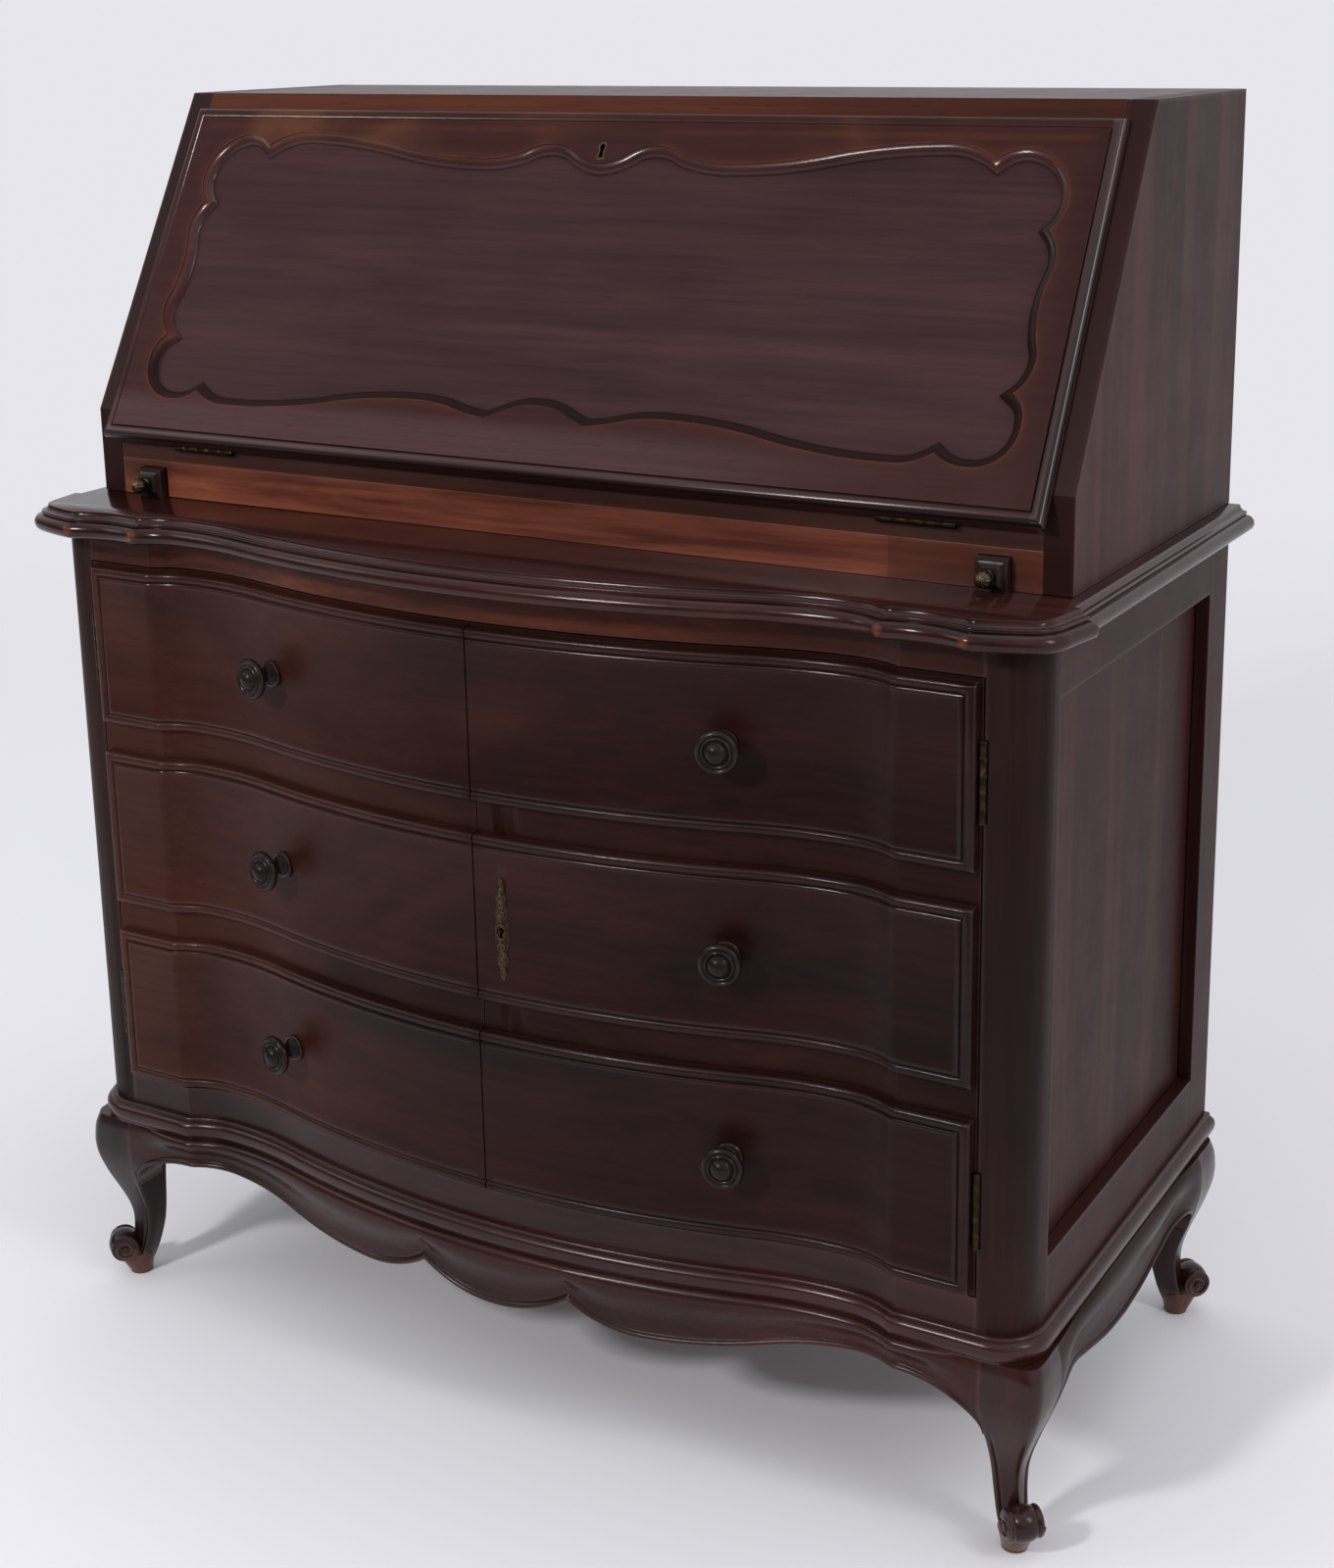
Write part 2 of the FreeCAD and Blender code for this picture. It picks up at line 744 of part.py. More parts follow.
# Door rails, bottom board, back and shelf close the cupboard.
rail_rear = front + D.rail_thick
node("door_rail_bottom", serpentine_rail("door_rail_bottom", ORIGIN, opening, rail_rear, base_top, door_low))
node("door_rail_top", serpentine_rail("door_rail_top", ORIGIN, opening, rail_rear, door_high, board_low))
bottom_blank = block("bottom_blank", (-frame_in, frame_in), (rail_rear, inside_back),
                     (base_top, base_top + D.bottom_thick))
post_rooms = [
    block("bottom_notch_" + name, span(opening, half, side), (front, panel_front), (base_top, board_low))
    for side, name in ((1, "right"), (-1, "left"))
]
node("bottom_board", cut("bottom_board", bottom_blank, post_rooms))
node("lower_back_panel", block(
    "lower_back_panel", (-frame_in, frame_in), (inside_back, back - D.back_inset), (base_top, board_low)))
shelf_low = base_top + D.shelf_height
shelf_reach = frame_in - D.drawer_play
node("cupboard_shelf", block(
    "cupboard_shelf", (-shelf_reach, shelf_reach), (front + D.shelf_setback, inside_back),
    (shelf_low, shelf_low + D.shelf_thick)))
node("shelf_battens", group("shelf_battens", [
    block("shelf_batten_" + name, span(frame_in - D.batten_width, panel_in, side), (panel_front, panel_rear),
          (shelf_low - D.batten_height, shelf_low))
    for side, name in ((1, "right"), (-1, "left"))
]))


# Moulded board: the serpentine runs on into a scallop and an ear. The ear has a bowed front, a tight
# corner and a side that leans out to a tip, from which the edge steps in to the plain side.
def meeting(first, first_radius, second, second_radius, near):
    """The crossing of two circles that lies nearest to a point."""
    across = second - first
    along = (across.Length ** 2 + first_radius ** 2 - second_radius ** 2) / (2 * across.Length)
    rise = math.sqrt(first_radius ** 2 - along ** 2)
    across.normalize()
    aside = FreeCAD.Vector(-across.y, across.x, 0)
    crossings = [first + across * along + aside * rise * way for way in (1, -1)]
    return min(crossings, key=near.distanceToPoint)


def heading(degrees):
    """A unit vector that many degrees round from straight ahead."""
    turn_by = math.radians(degrees)
    return FreeCAD.Vector(math.sin(turn_by), math.cos(turn_by), 0)


def board_outline(swell):
    lap = D.board_lap.value
    ridge = FreeCAD.Vector(ridge_x(D.board_lap).value, lap, 0)
    corner = flat(half - D.ear_corner_in, -D.ear_corner_behind)
    corner_radius = D.ear_corner_radius.value
    bow_radius = D.ear_front_radius.value
    turning = heading(D.ear_turn_degrees.value)
    bow = corner - turning * (bow_radius - corner_radius)
    start_x = (half - D.ear_start).value
    ear_point = FreeCAD.Vector(start_x, bow.y + math.sqrt(bow_radius ** 2 - (start_x - bow.x) ** 2), 0)
    chord = ear_point - ridge
    scallop_radius = sag_radius(chord.Length / 2, D.scallop.value)
    chord.normalize()
    rise_way = FreeCAD.Vector(-chord.y, chord.x, 0)
    scallop_centre = (ridge + ear_point) * 0.5 + rise_way * (scallop_radius - D.scallop.value)
    flare_centre = flat(D.dip_at, flare_radius - D.dip)
    flare = flare_radius.value - lap - swell
    scallop_now = scallop_radius - swell
    bow_now = bow_radius + swell
    corner_now = corner_radius + swell
    ridge_now = meeting(flare_centre, flare, scallop_centre, scallop_now, ridge)
    ear_now = meeting(scallop_centre, scallop_now, bow, bow_now, ear_point)
    corner_start = corner + turning * corner_now
    leaning = D.ear_lean_degrees.value
    corner_end = corner + heading(90 - leaning) * corner_now
    ear_end = -D.ear_end.value
    tip = corner_end.x + (corner_end.y - ear_end) * math.tan(math.radians(leaning))
    side_now = (half + D.board_side_lap).value + swell
    right = [(x.value, y, *bend) for x, y, *bend in wave(D.board_lap + swell, ORIGIN, half, 1)[:3]]
    ahead = front.value
    right += [
        (ridge_now.x, ahead - ridge_now.y, flare, -1),
        (ear_now.x, ahead - ear_now.y, scallop_now, -1),
        (corner_start.x, ahead - corner_start.y, bow_now, 1),
        (corner_end.x, ahead - corner_end.y, corner_now, 1),
        (tip, ahead - ear_end),
        (side_now, ahead - ear_end),
        (side_now, back.value),
    ]
    left = [(-step[0], step[1], *([step[2], -step[3]] if len(step) > 2 else [])) for step in right]
    return reverse(left) + right[1:]


board_solid = moulded(board_outline, BOARD_EDGE, D.board_nose.value, board_low.value, board_top.value)
node("moulded_board", shape("moulded_board", board_solid))

# Hinge axis of the fall: its inside lies level with the desk when it is open on the lopers.
rise = D.upper_height - D.upright
run = D.upper_depth - D.top_depth
slope = root(rise * rise + run * run)
slope_sin = rise / slope
slope_cos = run / slope
slope_angle = f"atan2({rise.text}; {run.text})"
lip_in = D.fall_inside - D.axis_below_desk
lip_out = lip_in + D.fall_lip
loper_top = board_top + D.loper_size
axis_z = loper_top + D.loper_fall_gap + lip_out
slope_start = board_top + D.upright
axis_y = desk_front + (lip_in - D.fall_seat_play - (slope_start - axis_z) * slope_cos) / slope_sin
desk_top = axis_z + D.axis_below_desk
desk_low = desk_top - D.desk_thick
inner_half = upper_half - D.side_thick
top_low = top - D.top_thick
top_reach = (top_low - axis_z - (lip_in - D.fall_seat_play) * slope_cos) / slope_sin
fall_length = top_reach + D.fall_top_lap
fall_tongue = top_reach - D.fall_tongue_gap
fall_key_at = fall_length - D.fall_key_drop
inner_back = back - D.upper_back_inset - D.upper_back_thick


def tilted(name, pieces):
    """Pieces drawn flat on the fall (x, up the slope, outward), set at the closed slope."""
    leaning = turn(group(name, pieces), (1, 0, 0), slope_angle)
    return place(leaning, ORIGIN, axis_y, axis_z)


# Upper case: two sides, a top with a sloping front edge, a back, a rail and the desk board.
for side, name in ((1, "right"), (-1, "left")):
    low, high = span(inner_half, upper_half, side)
    node("upper_side_" + name, prism("upper_side_" + name, "YZ_Plane", [
        (back, board_top), (back, top), (back - D.top_depth, top), (desk_front, slope_start),
        (desk_front, board_top),
    ], low, high))
top_edge = back - D.top_depth
top_blank = prism("upper_top_blank", "YZ_Plane", [
    (back, top_low), (back, top), (top_edge, top), (top_edge - D.top_thick * run / rise, top_low),
], -inner_half, inner_half)
bolt_low = D.fall_bolt_in
bolt_high = D.fall_bolt_in + D.bolt_thick
fall_bolt_end = fall_tongue - D.bolt_play
bolt_half = D.bolt_height / 2
catch_play = D.bolt_play * 2
catch = block("fall_catch", (-bolt_half - catch_play, bolt_half + catch_play),
              (fall_tongue, fall_bolt_end + D.fall_bolt_throw + catch_play),
              (bolt_low - catch_play, bolt_high + catch_play))
node("upper_top", cut("upper_top", top_blank, [tilted("fall_catch_room", [catch])]))
node("upper_back_panel", block(
    "upper_back_panel", (-inner_half, inner_half), (inner_back, back - D.upper_back_inset),
    (board_top, top_low)))
loper_half = D.loper_size / 2
loper_slots = [
    block("loper_slot_" + name,
          span(D.loper_at - loper_half - D.loper_play, D.loper_at + loper_half + D.loper_play, side),
          (desk_front - D.cut_over, desk_front + D.fall_rail_thick + D.cut_over),
          (board_top - D.cut_over, loper_top + D.loper_play))
    for side, name in ((1, "right"), (-1, "left"))
]
fall_rail_rear = desk_front + D.fall_rail_thick
fall_rail_blank = block("fall_rail_blank", (-inner_half, inner_half), (desk_front, fall_rail_rear),
                        (board_top, desk_low))
node("fall_rail", cut("fall_rail", fall_rail_blank, loper_slots))
desk_blank = block("desk_blank", (-inner_half, inner_half), (desk_front, inner_back), (desk_low, desk_top))
desk_rooms = [
    block("desk_leaf_room_" + name,
          span(D.fall_hinge_at - D.fall_hinge_length / 2 - D.leaf_play,
               D.fall_hinge_at + D.fall_hinge_length / 2 + D.leaf_play, side),
          (desk_front - D.cut_over, axis_y + D.fall_leaf_depth + D.leaf_play),
          (desk_top - D.fall_leaf_thick - D.leaf_play, desk_top + D.cut_over))
    for side, name in ((1, "right"), (-1, "left"))
]
node("desk_board", cut("desk_board", desk_blank, desk_rooms))

# Lopers: bars that slide out under the open fall, with fielded ends and ball knobs.
guides = []
near = desk_front - D.loper_head
for side, name in ((1, "right"), (-1, "left")):
    bar = block("loper_bar_" + name, span(D.loper_at - loper_half, D.loper_at + loper_half, side),
                (near + D.loper_head_rise, desk_front + D.loper_length), (board_top, loper_top))
    head = doc.addObject("Part::Wedge", "loper_head_" + name)
    low, high = span(D.loper_at - loper_half, D.loper_at + loper_half, side)
    inset = D.loper_head_inset
    for prop, value in {
        "Xmin": low + inset, "Xmax": high - inset, "Zmin": board_top + inset, "Zmax": loper_top - inset,
        "X2min": low, "X2max": high, "Z2min": board_top, "Z2max": loper_top,
        "Ymin": near, "Ymax": near + D.loper_head_rise,
    }.items():
        bind(head, prop, value)
    node("loper_" + name, fuse("loper_" + name, [bar, head]))
    reach = D.loper_knob_reach
    neck = D.loper_knob_neck
    ball = D.loper_knob_radius
    knob = turned("loper_knob_" + name, [
        (ORIGIN, ORIGIN), (neck * 1.5, ORIGIN), (neck, reach * 0.18),
        (ball, reach - ball), (ORIGIN, reach, ball, 1),
    ])
    knob.Placement.Rotation = FreeCAD.Rotation(FreeCAD.Vector(0, 0, 1), 180)
    node("loper_knob_" + name, place(knob, D.loper_at * side, near, board_top + loper_half))
    inner_edge = D.loper_at - loper_half - D.loper_play
    outer_edge = D.loper_at + loper_half + D.loper_play
    for kind, low, high, floor in (
        ("inner", inner_edge - D.guide_width, inner_edge, board_top),
        ("outer", outer_edge, inner_half, board_top),
        ("upper", inner_edge, outer_edge, loper_top + D.loper_play),
    ):
        guides.append(block(f"loper_guide_{kind}_{name}", span(low, high, side),
                            (fall_rail_rear, inner_back), (floor, desk_low)))
node("loper_guides", group("loper_guides", guides))


# Hinges: five knuckles, three on the fixed leaf and two on the moving one, round one pin.
def leaf(name, plate_x, plate_y, length, own):
    """One leaf in the frame of its hinge, with the pin along +Z; own lists its knuckles."""
    pitch = length / 5
    plate = block(name + "_plate", plate_x, plate_y, (ORIGIN, length))
    rooms = []
    solids = []
    for index in range(5):
        low = pitch * index
        if index in own:
            solids.append(rod(f"{name}_knuckle_{index}", D.knuckle_radius, pitch - D.knuckle_gap,
                              z=low + D.knuckle_gap / 2))
        else:
            rooms.append(rod(f"{name}_room_{index}", D.knuckle_radius + D.knuckle_play, pitch, z=low))
    solids.append(cut(name + "_cleared", plate, rooms))
    bore = rod(name + "_bore", D.pin_radius + D.pin_play, length)
    return cut(name, fuse(name + "_solid", solids), [bore])


def sideways(piece, x):
    """Lays a hinge piece along +X in the frame of the fall."""
    piece.Placement = FreeCAD.Placement(FreeCAD.Vector(), FreeCAD.Rotation(FreeCAD.Vector(0, 1, 0), 90))
    return place(piece, x)


FIXED = range(0, 5, 2)
MOVING = range(1, 5, 2)
fixed_leaves, pins, fall_leaves = [], [], []
door_leaves = {1: [], -1: []}
plate_start = D.knuckle_radius * 0.6
for side, name in ((1, "right"), (-1, "left")):
    x = (opening - D.door_gap / 2) * side
    y = front - D.door_hinge_out
    close, far = D.door_gap / 2, D.door_gap / 2 + D.leaf_thick
    for level, middle in (("low", hinge_low), ("high", hinge_high)):
        z = middle - D.door_hinge_length / 2
        label = f"door_{level}_{name}"
        depth = (plate_start, D.door_leaf_depth + D.door_hinge_out)
        fixed = leaf(label + "_fixed", span(close, far, side), depth, D.door_hinge_length, FIXED)
        moving = leaf(label + "_moving", span(close, far, -side), depth, D.door_hinge_length, MOVING)
        fixed_leaves.append(place(fixed, x, y, z))
        door_leaves[side].append(place(moving, x, y, z))
        pins.append(rod(label + "_pin", D.pin_radius, D.door_hinge_length, x, y, z))
    half_hinge = D.fall_hinge_length / 2
    low, high = span(D.fall_hinge_at - half_hinge, D.fall_hinge_at + half_hinge, side)
    depth = (plate_start, D.fall_leaf_depth)
    level = -D.axis_below_desk
    fixed = leaf(f"fall_fixed_{name}", (level, level + D.fall_leaf_thick), depth, D.fall_hinge_length, FIXED)
    fixed_leaves.append(place(sideways(fixed, low), low, axis_y, axis_z))
    moving = leaf(f"fall_moving_{name}", (-level - D.fall_leaf_thick, -level), depth,
                  D.fall_hinge_length, MOVING)
    fall_leaves.append(sideways(moving, low))
    pin = rod(f"fall_pin_{name}", D.pin_radius, D.fall_hinge_length)
    pins.append(place(sideways(pin, low), low, axis_y, axis_z))
node("fixed_hinge_leaves", group("fixed_hinge_leaves", fixed_leaves))
node("hinge_pins", group("hinge_pins", pins))

# Doors: bent boards that look like three drawers each, with a lock in the right one.
meet = D.door_gap / 2
door_edge = opening - D.door_gap
front_edge = door_edge - D.front_edge
front_height = (door_head - door_floor - D.front_margin * 2 - D.front_gap * 2) / 3
front_pitch = front_height + D.front_gap
plate_ahead = D.front_thick + D.field_rise
lock_floor = lock_z - D.lock_case_height / 2
lock_head = lock_z + D.lock_case_height / 2
lock_rear = front - belly_ahead(D.lock_case_width, -D.door_thick)
lock_near = lock_rear - D.lock_case_thick
bolt_rear = lock_rear - (D.lock_case_thick - D.bolt_thick) / 2
bolt_near = bolt_rear - D.bolt_thick
bolt_floor = lock_z - bolt_half
bolt_head = lock_z + bolt_half


def keyhole(name, x, z, low, high):
    """A round hole with a slot below it, through a door along Y."""
    hole = doc.addObject("Part::Cylinder", name + "_round")
    bind(hole, "Radius", D.key_radius)
    bind(hole, "Height", high - low)
    hole.Placement = FreeCAD.Placement(FreeCAD.Vector(), FreeCAD.Rotation(FreeCAD.Vector(1, 0, 0), 90))
    place(hole, x, high, z)
    slot = block(name + "_slot", (x - D.key_radius / 2, x + D.key_radius / 2), (low, high),
                 (z - D.key_slot, z))
    return fuse(name, [hole, slot])


door_key = keyhole("door_key_room", D.plate_at, lock_z, front - D.belly * 2, lock_near + D.cut_over)
for side, name in ((1, "right"), (-1, "left")):
    blank = serpentine_strip(f"{name}_door_blank", meet, door_edge, side, -D.door_thick, ORIGIN,
                             door_floor, door_head)
    rooms = []
    for level, middle in (("low", hinge_low), ("high", hinge_high)):
        length = D.door_hinge_length
        rooms.append(block(
            f"{name}_door_leaf_room_{level}", span(door_edge - D.leaf_thick - D.leaf_play, opening, side),
            (front - D.cut_over, front + D.door_leaf_depth + D.leaf_play),
            (middle - length / 2 - D.leaf_play, middle + length / 2 + D.leaf_play)))
        rooms.append(rod(
            f"{name}_door_knuckle_room_{level}", D.knuckle_radius + D.knuckle_play,
            length + D.knuckle_play * 2, (opening - meet) * side, front - D.door_hinge_out,
            middle - length / 2 - D.knuckle_play))
    if side > 0:
        rooms.append(block("lock_case_room", (ORIGIN, D.lock_case_width + meet + D.leaf_play),
                           (lock_near - D.leaf_play, lock_rear + D.door_thick),
                           (lock_floor - D.leaf_play, lock_head + D.leaf_play)))
        rooms.append(door_key)
    else:
        slack = D.bolt_play
        rooms.append(block("door_catch", (-D.door_bolt_throw - D.cut_over, ORIGIN),
                           (bolt_near - slack, bolt_rear + slack),
                           (bolt_floor - slack, bolt_head + slack)))
    node(f"{name}_door", cut(f"{name}_door", blank, rooms))
    fronts, knobs = [], []
    for index in range(3):
        low = door_floor + D.front_margin + front_pitch * index
        plate = serpentine_strip(f"{name}_front_plate_{index}", meet, front_edge, side, ORIGIN,
                                 D.front_thick, low, low + front_height)
        field = serpentine_strip(f"{name}_front_field_{index}", meet, front_edge - D.field_inset, side,
                                 D.front_thick, plate_ahead, low + D.field_inset,
                                 low + front_height - D.field_inset)
        whole = fuse(f"{name}_front_{index}", [plate, field])
        if side > 0 and index == 1:
            whole = cut(f"{name}_front_{index}_bored", whole, [door_key])
        fronts.append(whole)
        reach = D.knob_reach
        knob = turned(f"{name}_knob_{index}", [
            (ORIGIN, ORIGIN), (D.knob_base, ORIGIN), (D.knob_base, reach * 0.1),
            (D.knob_neck * 1.2, reach * 0.2), (D.knob_neck, reach * 0.36), (D.knob_neck * 1.5, reach * 0.5),
            (D.knob_radius * 0.9, reach * 0.62), (D.knob_radius, reach * 0.71),
            (D.knob_radius * 0.94, reach * 0.81), (D.knob_radius * 0.74, reach * 0.84),
            (D.knob_radius * 0.66, reach * 0.8), (D.knob_radius * 0.48, reach * 0.88),
            (D.knob_radius * 0.26, reach * 0.97), (ORIGIN, reach),
        ])
        lean = f"asin({(D.knob_at / (belly_radius + plate_ahead)).text})"
        turn(knob, (0, 0, 1), f"180 deg + {side} * {lean}")
        knobs.append(place(knob, D.knob_at * side, front - belly_ahead(D.knob_at, plate_ahead),
                           low + front_height / 2))
    node(f"{name}_door_fronts", group(f"{name}_door_fronts", fronts))
    node(f"{name}_door_knobs", group(f"{name}_door_knobs", knobs))
    node(f"{name}_door_hinge_leaves", group(f"{name}_door_hinge_leaves", door_leaves[side]))

lock_blank = block("lock_case_blank", (meet, meet + D.lock_case_width), (lock_near, lock_rear),
                   (lock_floor, lock_head))
bolt_start = meet + D.bolt_play
lock_room = block("lock_bolt_room", (ORIGIN, bolt_start + D.bolt_length + D.bolt_play),
                  (bolt_near - D.bolt_play, bolt_rear + D.bolt_play),
                  (bolt_floor - D.bolt_play, bolt_head + D.bolt_play))
node("door_lock_case", cut("door_lock_case", lock_blank, [lock_room]))
node("door_lock_bolt", block("door_lock_bolt", (bolt_start, bolt_start + D.bolt_length),
                             (bolt_near, bolt_rear), (bolt_floor, bolt_head)))
half_plate = D.plate_width / 2
shoulder = D.plate_height * 0.17
tip = D.plate_height / 2
leaf_radius = D.plate_height / 2
plate_outline = prism("door_key_plate_outline", "XZ_Plane", [
    (D.plate_at + half_plate, lock_z - shoulder, leaf_radius, 1),
    (D.plate_at + half_plate, lock_z + shoulder),
    (D.plate_at, lock_z + tip, leaf_radius, 1),
    (D.plate_at - half_plate, lock_z + shoulder, leaf_radius, 1),
    (D.plate_at - half_plate, lock_z - shoulder),
    (D.plate_at, lock_z - tip, leaf_radius, 1),
], front - D.belly * 2, front)
plate_skin = serpentine_strip("door_key_plate_skin", meet, front_edge, 1, plate_ahead,
                              plate_ahead + D.plate_thick, lock_floor - tip, lock_head + tip)
plate_whole = common("door_key_plate_whole", plate_outline, plate_skin)
node("door_key_plate", cut("door_key_plate", plate_whole, [door_key]))

# Fall: a lipped flap with a moulded edge and a carved sunk panel, drawn flat on its own frame.
lip_half = inner_half + D.fall_side_lap
tongue_half = inner_half - D.fall_side_play
edge_floor = lip_out - D.fall_edge_drop
edge_head = lip_out - D.fall_quirk
edge_in = D.fall_edge_width
tongue = block("fall_tongue_board", (-tongue_half, tongue_half), (ORIGIN, fall_tongue),
               (-D.axis_below_desk, lip_in))
lip = block("fall_lip_board", (-lip_half, lip_half), (ORIGIN, fall_length), (lip_in, edge_floor))
thumb = doc.addObject("Part::Wedge", "fall_thumb_edge")
for prop, value in {
    "Xmin": -lip_half, "Xmax": lip_half, "Zmin": -fall_length, "Zmax": ORIGIN,
    "X2min": edge_in - lip_half, "X2max": lip_half - edge_in,
    "Z2min": edge_in - fall_length, "Z2max": -edge_in, "Ymin": edge_floor, "Ymax": edge_head,
}.items():
    bind(thumb, prop, value)
thumb.Placement = FreeCAD.Placement(FreeCAD.Vector(), FreeCAD.Rotation(FreeCAD.Vector(1, 0, 0), 90))
field_in = edge_in + D.fall_quirk_width
field = block("fall_field", (field_in - lip_half, lip_half - field_in), (field_in, fall_length - field_in),
              (edge_floor, lip_out))


def carved(point, side):
    x, height = point
    wide = (lip_half - D.carve_side).value
    low = D.carve_low.value
    high = (fall_length - D.carve_top).value
    return FreeCAD.Vector(x / 100 * wide * side, low + height / 100 * (high - low), 0)


def carving_half(side):
    edges = []
    start = carved(CARVING_START, side)
    for through, end in CARVING:
        stop = carved(end, side)
        edges.append(Part.Arc(start, carved(through, side), stop).toShape())
        start = stop
    return edges


carving_face = Part.Face(Part.Wire(Part.__sortEdges__(carving_half(1) + carving_half(-1))))
carving_face.translate(FreeCAD.Vector(0, 0, (lip_out - D.carve_depth).value))
carving_rise = (D.carve_depth + D.cut_over).value
carving = shape("fall_carving", carving_face.extrude(FreeCAD.Vector(0, 0, carving_rise)))
fall_rooms = [carving]
for side, name in ((1, "right"), (-1, "left")):
    low = D.fall_hinge_at - D.fall_hinge_length / 2
    high = D.fall_hinge_at + D.fall_hinge_length / 2
    slack = D.leaf_play
    fall_rooms.append(block(
        "fall_leaf_room_" + name, span(low - slack, high + slack, side), (-slack, D.fall_leaf_depth + slack),
        (-D.axis_below_desk - D.cut_over, D.fall_leaf_thick - D.axis_below_desk + slack)))
    gap = D.knuckle_play
    start, _ = span(low - gap, high + gap, side)
    room = rod("fall_knuckle_room_" + name, D.knuckle_radius + gap, D.fall_hinge_length + gap * 2)
    fall_rooms.append(sideways(room, start))
lock_half = D.fall_lock_width / 2
lock_start = fall_tongue - D.fall_lock_drop
lock_back = -D.axis_below_desk
slack = D.leaf_play
fall_rooms.append(block("fall_lock_room", (-lock_half - slack, lock_half + slack),
                        (lock_start - slack, fall_tongue + D.cut_over),
                        (lock_back - D.cut_over, lip_in - D.bolt_play)))
key_half = D.fall_key_width / 2
key_low = fall_key_at - D.fall_key_width * 1.2
key_high = fall_key_at + D.fall_key_width * 0.9


def key_oval(name, radius, low, high, floor, head):
    """A slot with round ends, through the fall."""
    end = radius * 1.05
    path = [(radius, low + radius, end, 1), (radius, high - radius), (-radius, high - radius, end, 1),
            (-radius, low + radius)]
    return prism(name, "XY_Plane", path, floor, head)


insert_floor = lip_out - D.fall_key_thick
fall_rooms.append(key_oval("fall_key_room", key_half, key_low, key_high, insert_floor, lip_out + D.cut_over))
bore = key_oval("fall_key_bore", D.key_radius, fall_key_at - D.key_slot, fall_key_at + D.key_radius,
                lip_in - D.bolt_play, lip_out + D.cut_over)
insert = key_oval("fall_key_blank", key_half, key_low, key_high, insert_floor, lip_out + D.fall_key_proud)
fall_whole = fuse("fall_whole", [tongue, lip, thumb, field])
node("fall", tilted("fall", [cut("fall_flat", fall_whole, fall_rooms + [bore])]))
node("fall_key_insert", tilted("fall_key_insert", [cut("fall_key_flat", insert, [bore])]))
node("fall_hinge_leaves", tilted("fall_hinge_leaves", fall_leaves))
case = block("fall_lock_blank", (-lock_half, lock_half), (lock_start, fall_tongue),
             (lock_back, lip_in - D.bolt_play))
play = D.bolt_play
channel = block("fall_lock_channel", (-bolt_half - play, bolt_half + play),
                (fall_bolt_end - D.bolt_length - play, fall_tongue + D.cut_over),
                (bolt_low - play, bolt_high + play))
node("fall_lock_case", tilted("fall_lock_case", [cut("fall_lock_flat", case, [channel])]))
node("fall_lock_bolt", tilted("fall_lock_bolt", [block(
    "fall_bolt_flat", (-bolt_half, bolt_half), (fall_bolt_end - D.bolt_length, fall_bolt_end),
    (bolt_low, bolt_high))]))

# Inside gallery: a shelf on dividers, pigeonholes above and two small drawers below.
gallery_front = back - D.gallery_depth
gallery_low = desk_top + D.gallery_drawer_height
gallery_high = gallery_low + D.gallery_board
board_half = D.gallery_board / 2
node("gallery_shelf", block("gallery_shelf", (-inner_half, inner_half), (gallery_front, inner_back),
                            (gallery_low, gallery_high)))
dividers = []
for side, name in ((1, "right"), (-1, "left")):
    for kind, x, low, high in (
        ("lower", D.gallery_bay_at, desk_top, gallery_low),
        ("upper", D.gallery_bay_at, gallery_high, top_low),
        ("outer", D.gallery_hole_at, gallery_high, top_low),
    ):
        dividers.append(block(f"gallery_divider_{kind}_{name}", span(x - board_half, x + board_half, side),
                              (gallery_front, inner_back), (low, high)))
    bay = D.gallery_bay_at + board_half
    play = D.drawer_play
    low, high = span(bay + play, inner_half - play, side)
    floor, head = desk_top, gallery_low - play
    near = gallery_front
    blank = block("drawer_blank_" + name, (low, high), (near, near + D.drawer_length), (floor, head))
    room = block("drawer_room_" + name, (low + D.drawer_wall, high - D.drawer_wall),
                 (near + D.drawer_front, near + D.drawer_length - D.drawer_wall),
                 (floor + D.drawer_wall, head + D.cut_over))
    node("gallery_drawer_" + name, cut("gallery_drawer_" + name, blank, [room]))
    reach = D.drawer_knob_reach
    ball = D.drawer_knob_radius
    neck = D.drawer_knob_neck
    knob = turned("gallery_knob_" + name, [
        (ORIGIN, ORIGIN), (neck * 1.5, ORIGIN), (neck, reach * 0.25), (ball, reach - ball * 0.6),
        (ball * 0.7, reach - ball * 0.1), (ORIGIN, reach),
    ])
    knob.Placement.Rotation = FreeCAD.Rotation(FreeCAD.Vector(0, 0, 1), 180)
    node("gallery_knob_" + name, place(knob, (low + high) / 2, near, (floor + head) / 2))
node("gallery_dividers", group("gallery_dividers", dividers))

doc.recompute()
broken = [item.Name for item in doc.Objects if "Invalid" in item.State or "Error" in item.State]
if broken:
    raise RuntimeError("not built: " + ", ".join(broken))
for label, piece in nodes.items():
    if piece.Shape.isNull() or not piece.Shape.isValid():
        raise RuntimeError("bad shape: " + label)
os.makedirs("parts", exist_ok=True)
for label, piece in nodes.items():
    piece.Shape.exportStep(f"parts/{label}.step")
print(len(nodes), "sub-parts written")
